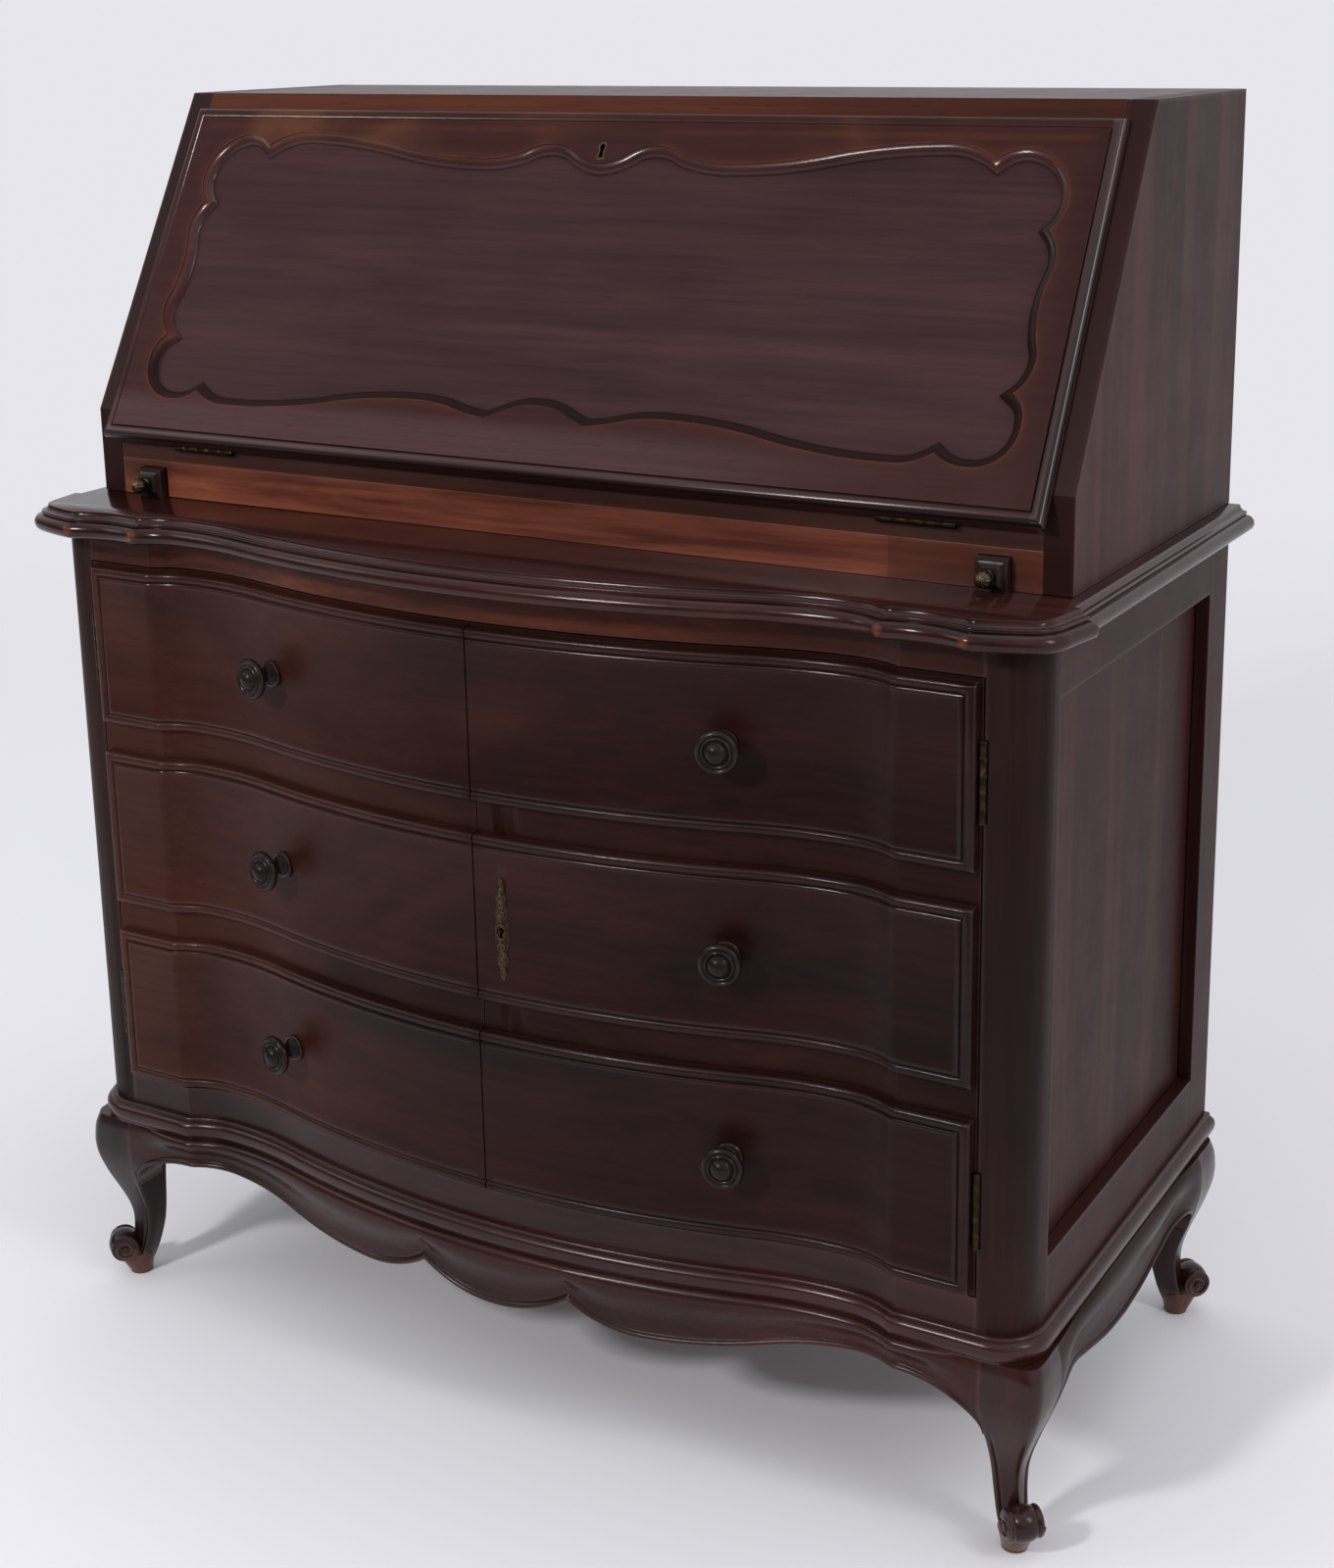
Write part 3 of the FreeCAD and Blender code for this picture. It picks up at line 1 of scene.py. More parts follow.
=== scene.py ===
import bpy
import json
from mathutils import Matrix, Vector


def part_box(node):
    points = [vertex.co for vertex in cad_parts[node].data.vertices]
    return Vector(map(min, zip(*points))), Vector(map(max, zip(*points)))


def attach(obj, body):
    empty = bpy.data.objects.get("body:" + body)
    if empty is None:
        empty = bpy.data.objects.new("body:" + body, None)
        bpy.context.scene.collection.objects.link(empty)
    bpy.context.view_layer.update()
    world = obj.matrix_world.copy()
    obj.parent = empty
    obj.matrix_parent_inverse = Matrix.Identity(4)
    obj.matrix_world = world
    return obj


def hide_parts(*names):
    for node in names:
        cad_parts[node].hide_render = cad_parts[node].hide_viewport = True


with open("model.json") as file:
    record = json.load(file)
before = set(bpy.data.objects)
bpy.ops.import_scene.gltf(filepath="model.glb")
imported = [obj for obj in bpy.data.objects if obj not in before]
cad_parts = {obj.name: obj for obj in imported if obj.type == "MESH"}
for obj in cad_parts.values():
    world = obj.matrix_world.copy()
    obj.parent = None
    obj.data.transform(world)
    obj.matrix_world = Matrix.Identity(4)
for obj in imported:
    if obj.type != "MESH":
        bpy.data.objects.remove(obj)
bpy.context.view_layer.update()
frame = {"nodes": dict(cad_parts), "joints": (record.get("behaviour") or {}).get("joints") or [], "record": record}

import json
import math

import bmesh
import bpy
from mathutils import Matrix, Vector

# Legs
# Four cabriole legs of solid mahogany, sawn to a square curve and carved: a bead follows each inner edge,
# the toe curls up into a scroll with an eye on both sides, and a small round pad meets the floor.
# Each is dowelled up into the base frame, and the rear pair is cut flush with the back.
MM = 0.001


def feed(node, sockets):
    """Sets or links a node's sockets."""
    for name, value in sockets.items():
        if isinstance(value, Socket):
            node.id_data.links.new(value.output, node.inputs[name])
        else:
            node.inputs[name].default_value = value


class Socket:
    """One output of a shader node. Arithmetic on it adds Math nodes."""

    def __init__(self, output):
        self.output = output

    def node(self, kind, settings=None, sockets=None):
        """Adds any other node: its settings are set first, then the values or links of its sockets."""
        made = self.output.id_data.nodes.new("ShaderNode" + kind)
        for name, value in (settings or {}).items():
            setattr(made, name, value)
        feed(made, sockets or {})
        return Socket(next(output for output in made.outputs if output.enabled))

    def other(self, name):
        return Socket(self.output.node.outputs[name])

    def part(self, axis):
        return self.node("SeparateXYZ", {}, {0: self}).other(axis)

    def measure(self, operation, second):
        """A number from this vector and a second one, such as their distance."""
        return self.node("VectorMath", {"operation": operation}, {0: self, 1: second}).other("Value")

    def sum(self, operation, first, second):
        return self.node("Math", {"operation": operation}, {0: first, 1: second})

    def __add__(self, value):
        return self.sum("ADD", self, value)

    def __sub__(self, value):
        return self.sum("SUBTRACT", self, value)

    def __mul__(self, value):
        return self.sum("MULTIPLY", self, value)

    def __rsub__(self, value):
        return self.sum("SUBTRACT", value, self)

    __radd__, __rmul__ = __add__, __mul__

    def step(self, low, high):
        """0 below low and 1 above high, with a smooth rise between them."""
        ranges = {"Value": self, "From Min": low, "From Max": high}
        return self.node("MapRange", {"interpolation_type": "SMOOTHSTEP"}, ranges)

    def tint(self, first, second):
        """The first colour where this is 0 and the second where it is 1."""
        ends = {0: self}
        for index, colour in ((6, first), (7, second)):
            ends[index] = colour if isinstance(colour, Socket) else (*colour, 1)
        return self.node("Mix", {"data_type": "RGBA"}, ends)


def new_finish(name):
    """A material, its shader and the place of each point in the object's own coordinates."""
    finish = bpy.data.materials.new(name)
    finish.use_nodes = True
    nodes = finish.node_tree.nodes
    place = Socket(nodes.new("ShaderNodeTexCoord").outputs["Object"])
    return finish, nodes["Principled BSDF"], place


def noise(place, scale, detail=4, roughness=0.55, distortion=0.0):
    mapped = place.node("Mapping", {}, {"Vector": place, "Scale": scale})
    return place.node("TexNoise", {}, {
        "Vector": mapped, "Scale": 1, "Detail": detail, "Roughness": roughness, "Distortion": distortion})


def edges(place, inside, reach):
    """1 along convex edges (inside) or in corners (outside), within a reach, and 0 elsewhere."""
    settings = {"inside": inside, "only_local": True, "samples": 3}
    seen = place.node("AmbientOcclusion", settings, {"Distance": reach})
    return 1 - seen.other("AO")


ACROSS, DEEP, UPRIGHT = 0, 1, 2
CASE_TONES = [(0.013, 0.0042, 0.0035), (0.034, 0.009, 0.0072), (0.07, 0.0195, 0.012)]
WORN = (0.1, 0.031, 0.016)


def polished_wood(name, grain, tones, worn=WORN, gloss=0.4, shine=0.25, figure=1.0, wear=0.45, reach=4.0,
                  extra=None, glazed=None):
    """Polished mahogany with its grain along one axis: figure, streaks, pores, old dirt with painted shade in
    corners, and edges worn over a reach in mm. extra may change the colour by place before the wear is laid
    on it, wear may vary by place, and glazed says where a hard clear polish lies, which is otherwise along the
    edges."""
    finish, shader, place = new_finish(name)
    broad, fine, pore = [22.0] * 3, [190.0] * 3, [900.0] * 3
    broad[grain], fine[grain], pore[grain] = 1.9, 6.0, 42.0
    bands = noise(place, broad, 5, 0.6, 0.9)
    streaks = noise(place, fine, 4, 0.6, 0.3)
    pores = noise(place, pore, 2, 0.5).step(0.6, 0.72)
    cloud = noise(place, [3.3, 3.3, 3.3], 3, 0.5, 0.4)
    mark = noise(place, [26, 26, 26], 5, 0.65)
    tone = bands * (0.55 * figure) + streaks * 0.3 + cloud * 0.4 + (0.075 - 0.275 * figure)
    colour = ((tone - 0.3) * (1 / 0.2)).tint(tones[0], tones[1])
    colour = ((tone - 0.5) * (1 / 0.24)).tint(colour, tones[2])
    if extra:
        colour = extra(place, colour, streaks, mark)
    colour = (pores * 0.45).tint(colour, tones[0])
    arris = edges(place, True, reach * MM)
    rub = (arris + (mark - 0.5) * 0.7).step(0.3, 0.8) * (wear(place) if callable(wear) else wear)
    # darker in corners and creases within 7 mm: old dirt with painted shade
    dirt_and_shade = edges(place, False, 7 * MM).step(0.2, 0.75) * 0.75
    colour = dirt_and_shade.tint(rub.tint(colour, worn), [part * 0.35 for part in tones[0]])
    relief = streaks * 0.35 + mark * 0.25 - pores * 0.6
    bump = relief.node("Bump", {}, {"Strength": 0.1, "Distance": 0.4 * MM, "Height": relief})
    glaze = glazed(place) if glazed else arris.step(0.15, 0.6) * 0.35
    feed(shader, {
        "Base Color": colour, "Roughness": gloss + (mark - 0.5) * 0.16 + (streaks - 0.5) * 0.08,
        "Coat Weight": glaze, "Coat Roughness": 0.17, "Normal": bump, "Specular IOR Level": shine})
    return finish


def foot_wear(place, colour, streaks, mark):
    """The polish has gone from the toes and pads, most of all at the floor."""
    bare = (place.part("Z") * (-1 / (34 * MM)) + mark * 0.9 + 0.5).step(0.15, 0.95) * 0.8
    return bare.tint(colour, (0.135, 0.058, 0.027))


LEG_TONES = [[part * 0.78 for part in tone] for tone in CASE_TONES]
leg_wood = polished_wood("leg_wood", UPRIGHT, LEG_TONES, gloss=0.24, shine=0.3, extra=foot_wear)


def deselect():
    bpy.ops.object.select_all(action="DESELECT")


def named(name, places=()):
    """Names the primitive that was just added, and sets its points to places where they are given."""
    piece = bpy.context.object
    piece.name = name
    piece.data.name = name
    for vertex, place in zip(piece.data.vertices, places):
        vertex.co = place
    return piece


def pick(*pieces):
    deselect()
    for piece in pieces:
        piece.select_set(True)
    bpy.context.view_layer.objects.active = pieces[0]


def edit(piece):
    """Opens a piece with all of it selected."""
    pick(piece)
    bpy.ops.object.mode_set(mode="EDIT")
    bpy.ops.mesh.select_all(action="SELECT")


def stop_editing():
    bpy.ops.object.mode_set(mode="OBJECT")


def close(piece, angle=38):
    """Welds the seams, caps the open ends, turns the faces outwards and smooths all but the sharp edges."""
    edit(piece)
    bpy.ops.mesh.remove_doubles(threshold=0.02 * MM)
    bpy.ops.mesh.fill_holes(sides=0)
    bpy.ops.mesh.select_all(action="SELECT")
    bpy.ops.mesh.normals_make_consistent(inside=False)
    stop_editing()
    bpy.ops.object.shade_smooth_by_angle(angle=math.radians(angle))
    return piece


def paint(piece, finish):
    piece.data.materials.clear()
    piece.data.materials.append(finish)
    return piece


def laid(name, rows):
    """A grid primitive whose points are laid along rows of places."""
    deselect()
    bpy.ops.mesh.primitive_grid_add(x_subdivisions=len(rows[0]) - 1, y_subdivisions=len(rows) - 1)
    return named(name, [place for row in rows for place in row])


def extrude(height):
    bpy.ops.mesh.extrude_region_move(TRANSFORM_OT_translate={"value": (0, 0, height)})


def turned(name, steps, sides=40):
    """A piece turned up the Z axis from (radius, height) steps, each an extrude and a resize."""
    radius, height = steps[0]
    deselect()
    bpy.ops.mesh.primitive_circle_add(vertices=sides, radius=radius * MM, fill_type="NGON")
    piece = named(name)
    piece.data.transform(Matrix.Translation((0, 0, height * MM)))
    edit(piece)
    for next_radius, next_height in steps[1:]:
        extrude((next_height - height) * MM)
        ratio = next_radius / radius
        bpy.ops.transform.resize(value=(ratio, ratio, 1), center_override=(0, 0, next_height * MM))
        radius, height = next_radius, next_height
    stop_editing()
    return close(piece)


def rib(name, places, widths):
    """A round rib that follows places and tapers by widths: a bevelled curve made into a mesh."""
    line = bpy.data.curves.new(name, "CURVE")
    line.dimensions = "3D"
    line.bevel_depth = 1
    line.bevel_resolution = 2
    line.use_fill_caps = True
    run = line.splines.new("POLY")
    run.points.add(len(places) - 1)
    for point, place, width in zip(run.points, places, widths):
        point.co = (*place, 1)
        point.radius = width
    piece = bpy.data.objects.new(name, line)
    bpy.context.scene.collection.objects.link(piece)
    pick(piece)
    bpy.ops.object.convert(target="MESH")
    return close(bpy.context.object)


def join(name, pieces):
    pick(*pieces)
    bpy.ops.object.join()
    return named(name)


def copied(piece, name, matrix):
    """A copy with its own mesh, set in place; a mirrored copy has its faces turned out again."""
    pick(piece)
    bpy.ops.object.duplicate()
    copy = named(name)
    copy.data.transform(matrix)
    if matrix.determinant() < 0:
        edit(copy)
        bpy.ops.mesh.flip_normals()
        stop_editing()
    return copy


def drop(piece):
    bpy.data.objects.remove(piece)


def stand_in(piece, node, body):
    """The piece is shown for a CAD node and on its body."""
    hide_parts(node)
    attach(piece, body)
    return piece


def cut_flat(place, normal):
    """Cuts off the selected part that lies beyond a plane, and fills the cut."""
    bpy.ops.mesh.bisect(plane_co=place, plane_no=normal, use_fill=True, clear_outer=True)


def along(stops, at):
    """A smooth value at a place between (place, value) stops in rising order."""
    places = [place for place, _ in stops]
    values = [value for _, value in stops]
    last = len(stops) - 1
    at = min(max(at, places[0]), places[last])
    k = max(i for i in range(last) if places[i] <= at)

    def slope(i):
        low, high = max(i - 1, 0), min(i + 1, last)
        return (values[high] - values[low]) / (places[high] - places[low])

    width = places[k + 1] - places[k]
    t = (at - places[k]) / width
    return ((2 * t ** 3 - 3 * t ** 2 + 1) * values[k] + (t ** 3 - 2 * t ** 2 + t) * width * slope(k)
            + (3 * t ** 2 - 2 * t ** 3) * values[k + 1] + (t ** 3 - t ** 2) * width * slope(k + 1))


def polar(radius, angle, centre=(0, 0)):
    return centre[0] + radius * math.cos(angle), centre[1] + radius * math.sin(angle)


def spread(low, high, count):
    return [low + (high - low) * k / count for k in range(count + 1)]


def smooth_step(low, high, at):
    t = min(max((at - low) / (high - low), 0), 1)
    return t * t * (3 - 2 * t)


post_low, post_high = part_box("front_post_right")
half, front = post_high.x, post_low.y
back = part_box("moulded_board")[1].y
leg_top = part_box("leg_front_right")[1].z
foot_x, foot_front, _ = frame["record"]["mounts"][0]["pos_m"]
FOOT_TO_BACK = 24 * MM
SHANK_LOW = 12
# height from the floor, then how far each outer face, inner face and rounded corner stands, in millimetres
LEG_OUT = [(12, 7), (28, 5), (40, 3.4), (52, 3), (61, 3.8), (71, 6.2), (84, 10.8), (98, 16.4), (109, 20.2),
           (119, 23.2), (130, 25), (140, 25.2), (150, 24.4), (160, 21.5)]
LEG_IN = [(12, 9), (28, 13.5), (52, 17.6), (94, 19.5), (120, 20.5), (160, 20.5)]
LEG_CORNER = [(12, 4.5), (40, 2.6), (60, 3.2), (94, 6), (142, 12), (160, 13)]
# the bead along the inner edge and the crown of the face beside it: place across the face, then relief
BEAD = [(0, -1), (0.7, 0), (1.8, 0.5), (3, 0.5), (4.1, 0), (4.7, -0.8), (5.4, -0.7), (6.4, -0.1), (7.6, 0)]
CROWN = [(0.3, 0.35), (0.65, 0.45), (1, 0)]
BEAD_FADES = (84, 104)


def leg_ring(height):
    """The leg's outline at a height, round from the inner edge of one face to that of the other."""
    out, inward, corner = (along(stops, height) for stops in (LEG_OUT, LEG_IN, LEG_CORNER))
    plain = out - corner + inward
    fade = 1 - smooth_step(*BEAD_FADES, height)
    side = [(out + relief * fade, edge - inward) for edge, relief in BEAD]
    reach = BEAD[-1][0]
    side += [(out + rise, reach + (plain - reach) * share - inward) for share, rise in CROWN]
    bend = [math.radians(90 * k / 6) for k in range(1, 6)]
    turn = [(out - corner * (1 - math.cos(a)), out - corner * (1 - math.sin(a))) for a in bend]
    facing = [(q, p) for p, q in reversed(side)]
    inner = [(-inward, (out - inward) / 2), (-inward, -inward), ((out - inward) / 2, -inward), side[0]]
    return [(p * MM, q * MM, height * MM) for p, q in side + turn + facing + inner]


shank = close(laid("shank", [leg_ring(height) for height in spread(SHANK_LOW, leg_top / MM, 46)]))
pad = turned("pad", [(9.2, 0), (10, 0.6), (10.4, 5), (11.6, 11), (13, 17), (12, 20), (6, 23)])
instep = turned("instep", [(6, 3), (10, 3.4), (11.2, 9), (12.4, 16), (12.8, 22), (11, 27), (6, 29)])
INSTEP_LEAN = 0.26
instep.data.transform(Matrix(((1, 0, INSTEP_LEAN), (0, 1, INSTEP_LEAN), (0, 0, 1))).to_4x4())
# the toe is a roll between two eyes: steps of radius and place along the roll
TOE_HALF = [(1.8, 15.4), (3, 14.9), (3.4, 13.6), (6, 13.2), (10.4, 13.4), (11.8, 12.6), (12.3, 10.8),
            (11.6, 9.4), (11.2, 8.6), (12.2, 7.4), (13.2, 4.6), (13.6, 1.5)]
roll = turned("roll", [(r, -b) for r, b in TOE_HALF] + [(r, b) for r, b in reversed(TOE_HALF)])
TOE_REACH, TOE_HEIGHT = 13.5, 28
EYE_TURNS, EYE_RADIUS, EYE_SHRINK, EYE_OUT = 1.35, 9.3, 5.6, 13.3
EYE_RIB, EYE_TAPER = 1.5, 0.6
scrolls = []
for end in (-1, 1):
    turns = spread(0, 1, 44)
    radii = [EYE_RADIUS - EYE_SHRINK * t for t in turns]
    angles = [math.tau * EYE_TURNS * t * end + math.pi * (0.5 + 0.5 * end) for t in turns]
    places = [(*polar(r * MM, a), end * EYE_OUT * MM) for r, a in zip(radii, angles)]
    scrolls.append(rib("scroll", places, [(EYE_RIB - EYE_TAPER * t) * MM for t in turns]))
toe = join("toe", [roll] + scrolls)
across_toe = Matrix(((1, 0, -1), (1, 0, 1), (0, math.sqrt(2), 0))).to_4x4() * math.sqrt(0.5)
across_toe[3][3] = 1
stand = TOE_REACH * MM * math.sqrt(0.5)
toe.data.transform(Matrix.Translation((stand, stand, TOE_HEIGHT * MM)) @ across_toe)
edit(toe)
bpy.ops.mesh.normals_make_consistent(inside=False)
stop_editing()
leg = paint(join("leg", [shank, pad, instep, toe]), leg_wood)
LEG_PLACES = [("rear_right", 1, 1), ("rear_left", -1, 1), ("front_right", 1, -1), ("front_left", -1, -1)]
for label, side, depth in LEG_PLACES:
    foot_y = back - FOOT_TO_BACK if depth > 0 else foot_front
    matrix = Matrix.Translation((side * foot_x, foot_y, 0)) @ Matrix.Diagonal((side, depth, 1, 1))
    piece = copied(leg, "carved_leg_" + label, matrix)
    if depth > 0:
        edit(piece)
        cut_flat((0, back, 0), (0, 1, 0))
        stop_editing()
    stand_in(piece, "leg_" + label, "cabinet")
drop(leg)

# Aprons
# Shaped mahogany rails between the legs, glued under the base moulding. Each swells out at the top, hollows
# below, and ends in a bead that runs on down the legs. The front one follows the serpentine in plan.
apron_wood = polished_wood("apron_wood", ACROSS, CASE_TONES, gloss=0.27, shine=0.22)
side_apron_wood = polished_wood("side_apron_wood", DEEP, LEG_TONES, gloss=0.3, shine=0.08)
# the serpentine in plan: arcs for the belly, the hollow beside it and the flare up to a ridge
BELLY, DIP, DIP_AT, RIDGE_AT, INFLECTION_AT = 28.5 * MM, 10.5 * MM, 295 * MM, 335 * MM, 220 * MM


def sag(run, rise):
    """Radius of an arc that leaves level and rises by rise over run."""
    return (run * run + rise * rise) / (2 * rise)


radii_sum = sag(DIP_AT, BELLY + DIP)
belly_radius = radii_sum * INFLECTION_AT / DIP_AT
hollow_radius = radii_sum - belly_radius
flare_radius = sag(RIDGE_AT - DIP_AT, DIP)


def ridge_x(offset):
    """Where the ridge stands when the serpentine is swelled by an offset."""
    return DIP_AT + math.sqrt(DIP * (2 * flare_radius - DIP - 2 * offset))


def ahead(x, offset):
    """How far the serpentine, swelled by an offset, stands ahead of the flat front at x."""
    x = abs(x)
    radius = belly_radius + offset
    if x < radius * DIP_AT / radii_sum:
        return BELLY - belly_radius + math.sqrt(radius ** 2 - x ** 2)
    if x > ridge_x(offset):
        return offset
    bend = hollow_radius if x < DIP_AT else flare_radius
    return bend - DIP - math.sqrt((bend - offset) ** 2 - (x - DIP_AT) ** 2)


def eased(x, offset, ease=2.5 * MM):
    """The serpentine with its ridge rounded over."""
    return sum(ahead(x + ease * k / 4, offset) for k in range(-4, 5)) / 9


LEG_INNER, APRON_THICK, APRON_BLENDS = 20.5 * MM, 32 * MM, 350 * MM
FRONT_TO_FOOT, SIDE_TO_FOOT = 18.5, 12
apron_reach = foot_x - LEG_INNER
LOW, CUSP, CUSP_AT, LOBE_LOW, LOBE_AT, SHOULDER, LEG_JOIN = (
    value * MM for value in (107.5, 127.5, 68, 108.5, 130, 132, 95))


def apron_edge(x):
    """Height of the front apron's lower edge: three lobes between cusps, then a sweep into the leg."""
    x = abs(x)
    if x <= CUSP_AT:
        radius = sag(CUSP_AT, CUSP - LOW)
        return LOW + radius - math.sqrt(radius ** 2 - x ** 2)
    if x <= LOBE_AT:
        radius = sag(LOBE_AT - CUSP_AT, CUSP - LOBE_LOW)
        return LOBE_LOW + radius - math.sqrt(radius ** 2 - (x - LOBE_AT) ** 2)
    middle = (LOBE_AT + RIDGE_AT) / 2
    if x <= RIDGE_AT:
        radius = sag(middle - LOBE_AT, (SHOULDER - LOBE_LOW) / 2)
        if x < middle:
            return LOBE_LOW + radius - math.sqrt(radius ** 2 - (x - LOBE_AT) ** 2)
        return SHOULDER - radius + math.sqrt(radius ** 2 - (RIDGE_AT - x) ** 2)
    share = min((x - RIDGE_AT) / (apron_reach - RIDGE_AT), 1)
    return LEG_JOIN + (SHOULDER - LEG_JOIN) * math.sqrt(1 - share ** 2)


# the apron's face: swell by share of its height, then the lip below it as (height, swell)
SWELL = [(0, 6.4), (0.04, 8.2), (0.12, 9.9), (0.24, 10.4), (0.38, 9), (0.54, 6.2), (0.72, 3.6), (0.88, 2.8),
         (1, 3)]
LIP = [(6.8, 3.4), (6.2, 2.4), (5.6, 2.7), (5, 4.2), (3.8, 5.2), (2.4, 5.2), (1.1, 4.2), (0.3, 2.6), (0, 0)]


def apron_steps(low, leg_face, blend):
    """(offset, height) steps down an apron's face; near a leg they lean over to the leg's own face."""
    band = low + LIP[0][0] * MM
    steps = [(along(SWELL, t), leg_top + (band - leg_top) * t) for t in spread(0, 1, 18)[:-1]]
    steps += [(relief, low + rise * MM) for rise, relief in LIP]
    leaned = []
    for swell, height in steps:
        beside = along(LEG_OUT, height / MM) - leg_face + min(swell - 4, 0) * 0.4
        leaned.append(((swell + (beside - swell) * blend) * MM, height))
    return leaned


# columns of points stand closer together towards the legs, over an end share of the reach
END_SHARE, END_COLUMNS = 0.16, 20
ends = [apron_reach * (1 - (k / END_COLUMNS) ** 2 * END_SHARE) for k in range(END_COLUMNS + 1)]
columns = {*spread(-ends[-1], ends[-1], 190), -CUSP_AT, CUSP_AT, *ends, *(-x for x in ends)}
rows = []
for x in sorted(columns):
    face = apron_steps(apron_edge(x), FRONT_TO_FOOT, smooth_step(APRON_BLENDS, apron_reach, abs(x)))
    row = [(x, front - eased(x, offset), height) for offset, height in face]
    rear = front + APRON_THICK
    rows.append(row + [(x, rear, apron_edge(x)), (x, rear, leg_top), row[0]])
front_apron = paint(close(laid("shaped_front_apron", rows), 50), apron_wood)
stand_in(front_apron, "front_apron", "cabinet")

side_low, side_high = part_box("side_apron_right")
side_middle = (side_low.y + side_high.y) / 2
side_reach = (side_high.y - side_low.y) / 2
side_blends = 0.6 * side_reach
# the side apron's lower edge: place from its middle, then height
SIDE_EDGE = [(0, 97), (40, 100), (85, 109), (118, 116), (140, 116.5), (155, 110), (161, 101), (164.2, 90)]
rows = []
for turn in spread(-90, 90, 90):
    y = side_reach * math.sin(math.radians(turn))
    low = along(SIDE_EDGE, abs(y) / MM) * MM
    face = apron_steps(low, SIDE_TO_FOOT, smooth_step(side_blends, side_reach, abs(y)))
    row = [(half + offset, side_middle + y, height) for offset, height in face]
    rows.append(row + [(side_low.x, side_middle + y, low), (side_low.x, side_middle + y, leg_top), row[0]])
side_apron = paint(close(laid("side_apron", rows), 50), side_apron_wood)
SIDES = ((1, "right"), (-1, "left"))
for side, label in SIDES:
    piece = copied(side_apron, "shaped_side_apron_" + label, Matrix.Diagonal((side, 1, 1, 1)))
    stand_in(piece, "side_apron_" + label, "cabinet")
drop(side_apron)


def dress(finish, nodes, edge=0.9):
    """Gives CAD pieces a finish and, with a bevel in millimetres, softly rounded arrises."""
    for node in nodes:
        piece = paint(frame["nodes"][node], finish)
        weld = piece.modifiers.new("weld", "WELD")
        weld.merge_threshold = 0.01 * MM
        if not edge:
            continue
        bevel = piece.modifiers.new("arris", "BEVEL")
        bevel.width = edge * MM
        bevel.segments = 2
        bevel.limit_method = "ANGLE"
        bevel.angle_limit = math.radians(40)
        bevel.harden_normals = True


RAW_TONES = [(0.045, 0.02, 0.01), (0.105, 0.05, 0.024), (0.17, 0.088, 0.044)]
RAW_WORN = (0.26, 0.15, 0.08)
raw_wood = polished_wood("raw_wood", ACROSS, RAW_TONES, RAW_WORN, gloss=0.55, wear=0.4)
dress(raw_wood, ["back_apron"])

# Base moulding
# A mahogany strip in three lengths, glued on the legs and aprons: a fillet over a half round.
# Its front is shaped to the serpentine and its corners are round.
base_wood = polished_wood("base_wood", ACROSS, CASE_TONES, gloss=0.25, shine=0.3)
POST_ROUND, BASE_SWELL, BASE_WIDTH = 30 * MM, 9 * MM, 40 * MM
# drop from the top and swell, both in shares
BASE_EDGE = [(0, 0.2), (0.015, 0.38), (0.05, 0.47), (0.12, 0.5), (0.15, 0.46), (0.165, 0.5), (0.19, 0.66),
             (0.25, 0.83), (0.33, 0.94), (0.43, 1), (0.54, 1), (0.65, 0.96), (0.76, 0.88), (0.85, 0.77),
             (0.92, 0.66), (0.95, 0.6), (1, 0.6)]
base_low, base_high = (corner.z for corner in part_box("base_moulding"))


def arc(centre, radius, first, last, count):
    """Points on an arc between two angles in degrees."""
    return [polar(radius, math.radians(a), centre) for a in spread(first, last, count)]


def serpentine(offset):
    """Points (x, ahead) from the middle of the belly out to the hollow's deepest point."""
    lean = math.degrees(math.asin(DIP_AT / radii_sum))
    belly = arc((0, BELLY - belly_radius), belly_radius + offset, 90, 90 - lean, 40)
    return belly + arc((DIP_AT, hollow_radius - DIP), hollow_radius - offset, 270 - lean, 270, 16)[1:]


def base_half(swell):
    """Half of the moulding's plan at a swell, from the middle of the front to the rear."""
    ridge = ridge_x(swell)
    lean = math.degrees(math.asin((ridge - DIP_AT) / (flare_radius - swell)))
    flat_end = half - POST_ROUND
    points = serpentine(swell)
    points += arc((DIP_AT, flare_radius - DIP), flare_radius - swell, 270, 270 + lean, 8)[1:]
    points += [(x, swell) for x in spread(ridge, flat_end, 6)[1:]]
    points += arc((flat_end, -POST_ROUND), POST_ROUND + swell, 90, 0, 14)[1:]
    return points + [(half + swell, -d) for d in spread(POST_ROUND, back - front, 12)[1:]]


def both_halves(points):
    """The whole outline, from the left rear round the front to the right rear, at y = front - ahead."""
    left = [(-x, front - f) for x, f in reversed(points)]
    return left + [(x, front - f) for x, f in points[1:]]


base_rows = []
for drop_share, swell in BASE_EDGE:
    height = base_high - drop_share * (base_high - base_low)
    base_rows.append([(x, y, height) for x, y in both_halves(base_half(swell * BASE_SWELL))])
inner_x, inner_y = half - BASE_WIDTH, front + BASE_WIDTH
inner = [(min(max(x, -inner_x), inner_x), max(y, inner_y)) for x, y, _ in base_rows[0]]
base_rows += [[(x, y, height) for x, y in inner] for height in (base_low, base_high)] + [base_rows[0]]
base_moulding = paint(close(laid("base_strip", base_rows), 50), base_wood)
stand_in(base_moulding, "base_moulding", "cabinet")

# Side frames
# On each side a rounded front post, a rear stile and two rails of mahogany are tenoned together
# round a sunk panel, which lies loose in their grooves. The grain of the panel stands upright.
SIDE_TONES = [(0.019, 0.0057, 0.0047), (0.039, 0.0113, 0.0089), (0.067, 0.0213, 0.0142)]
POST_TONES = [(0.013, 0.0056, 0.0043), (0.027, 0.0108, 0.0076), (0.046, 0.018, 0.011)]


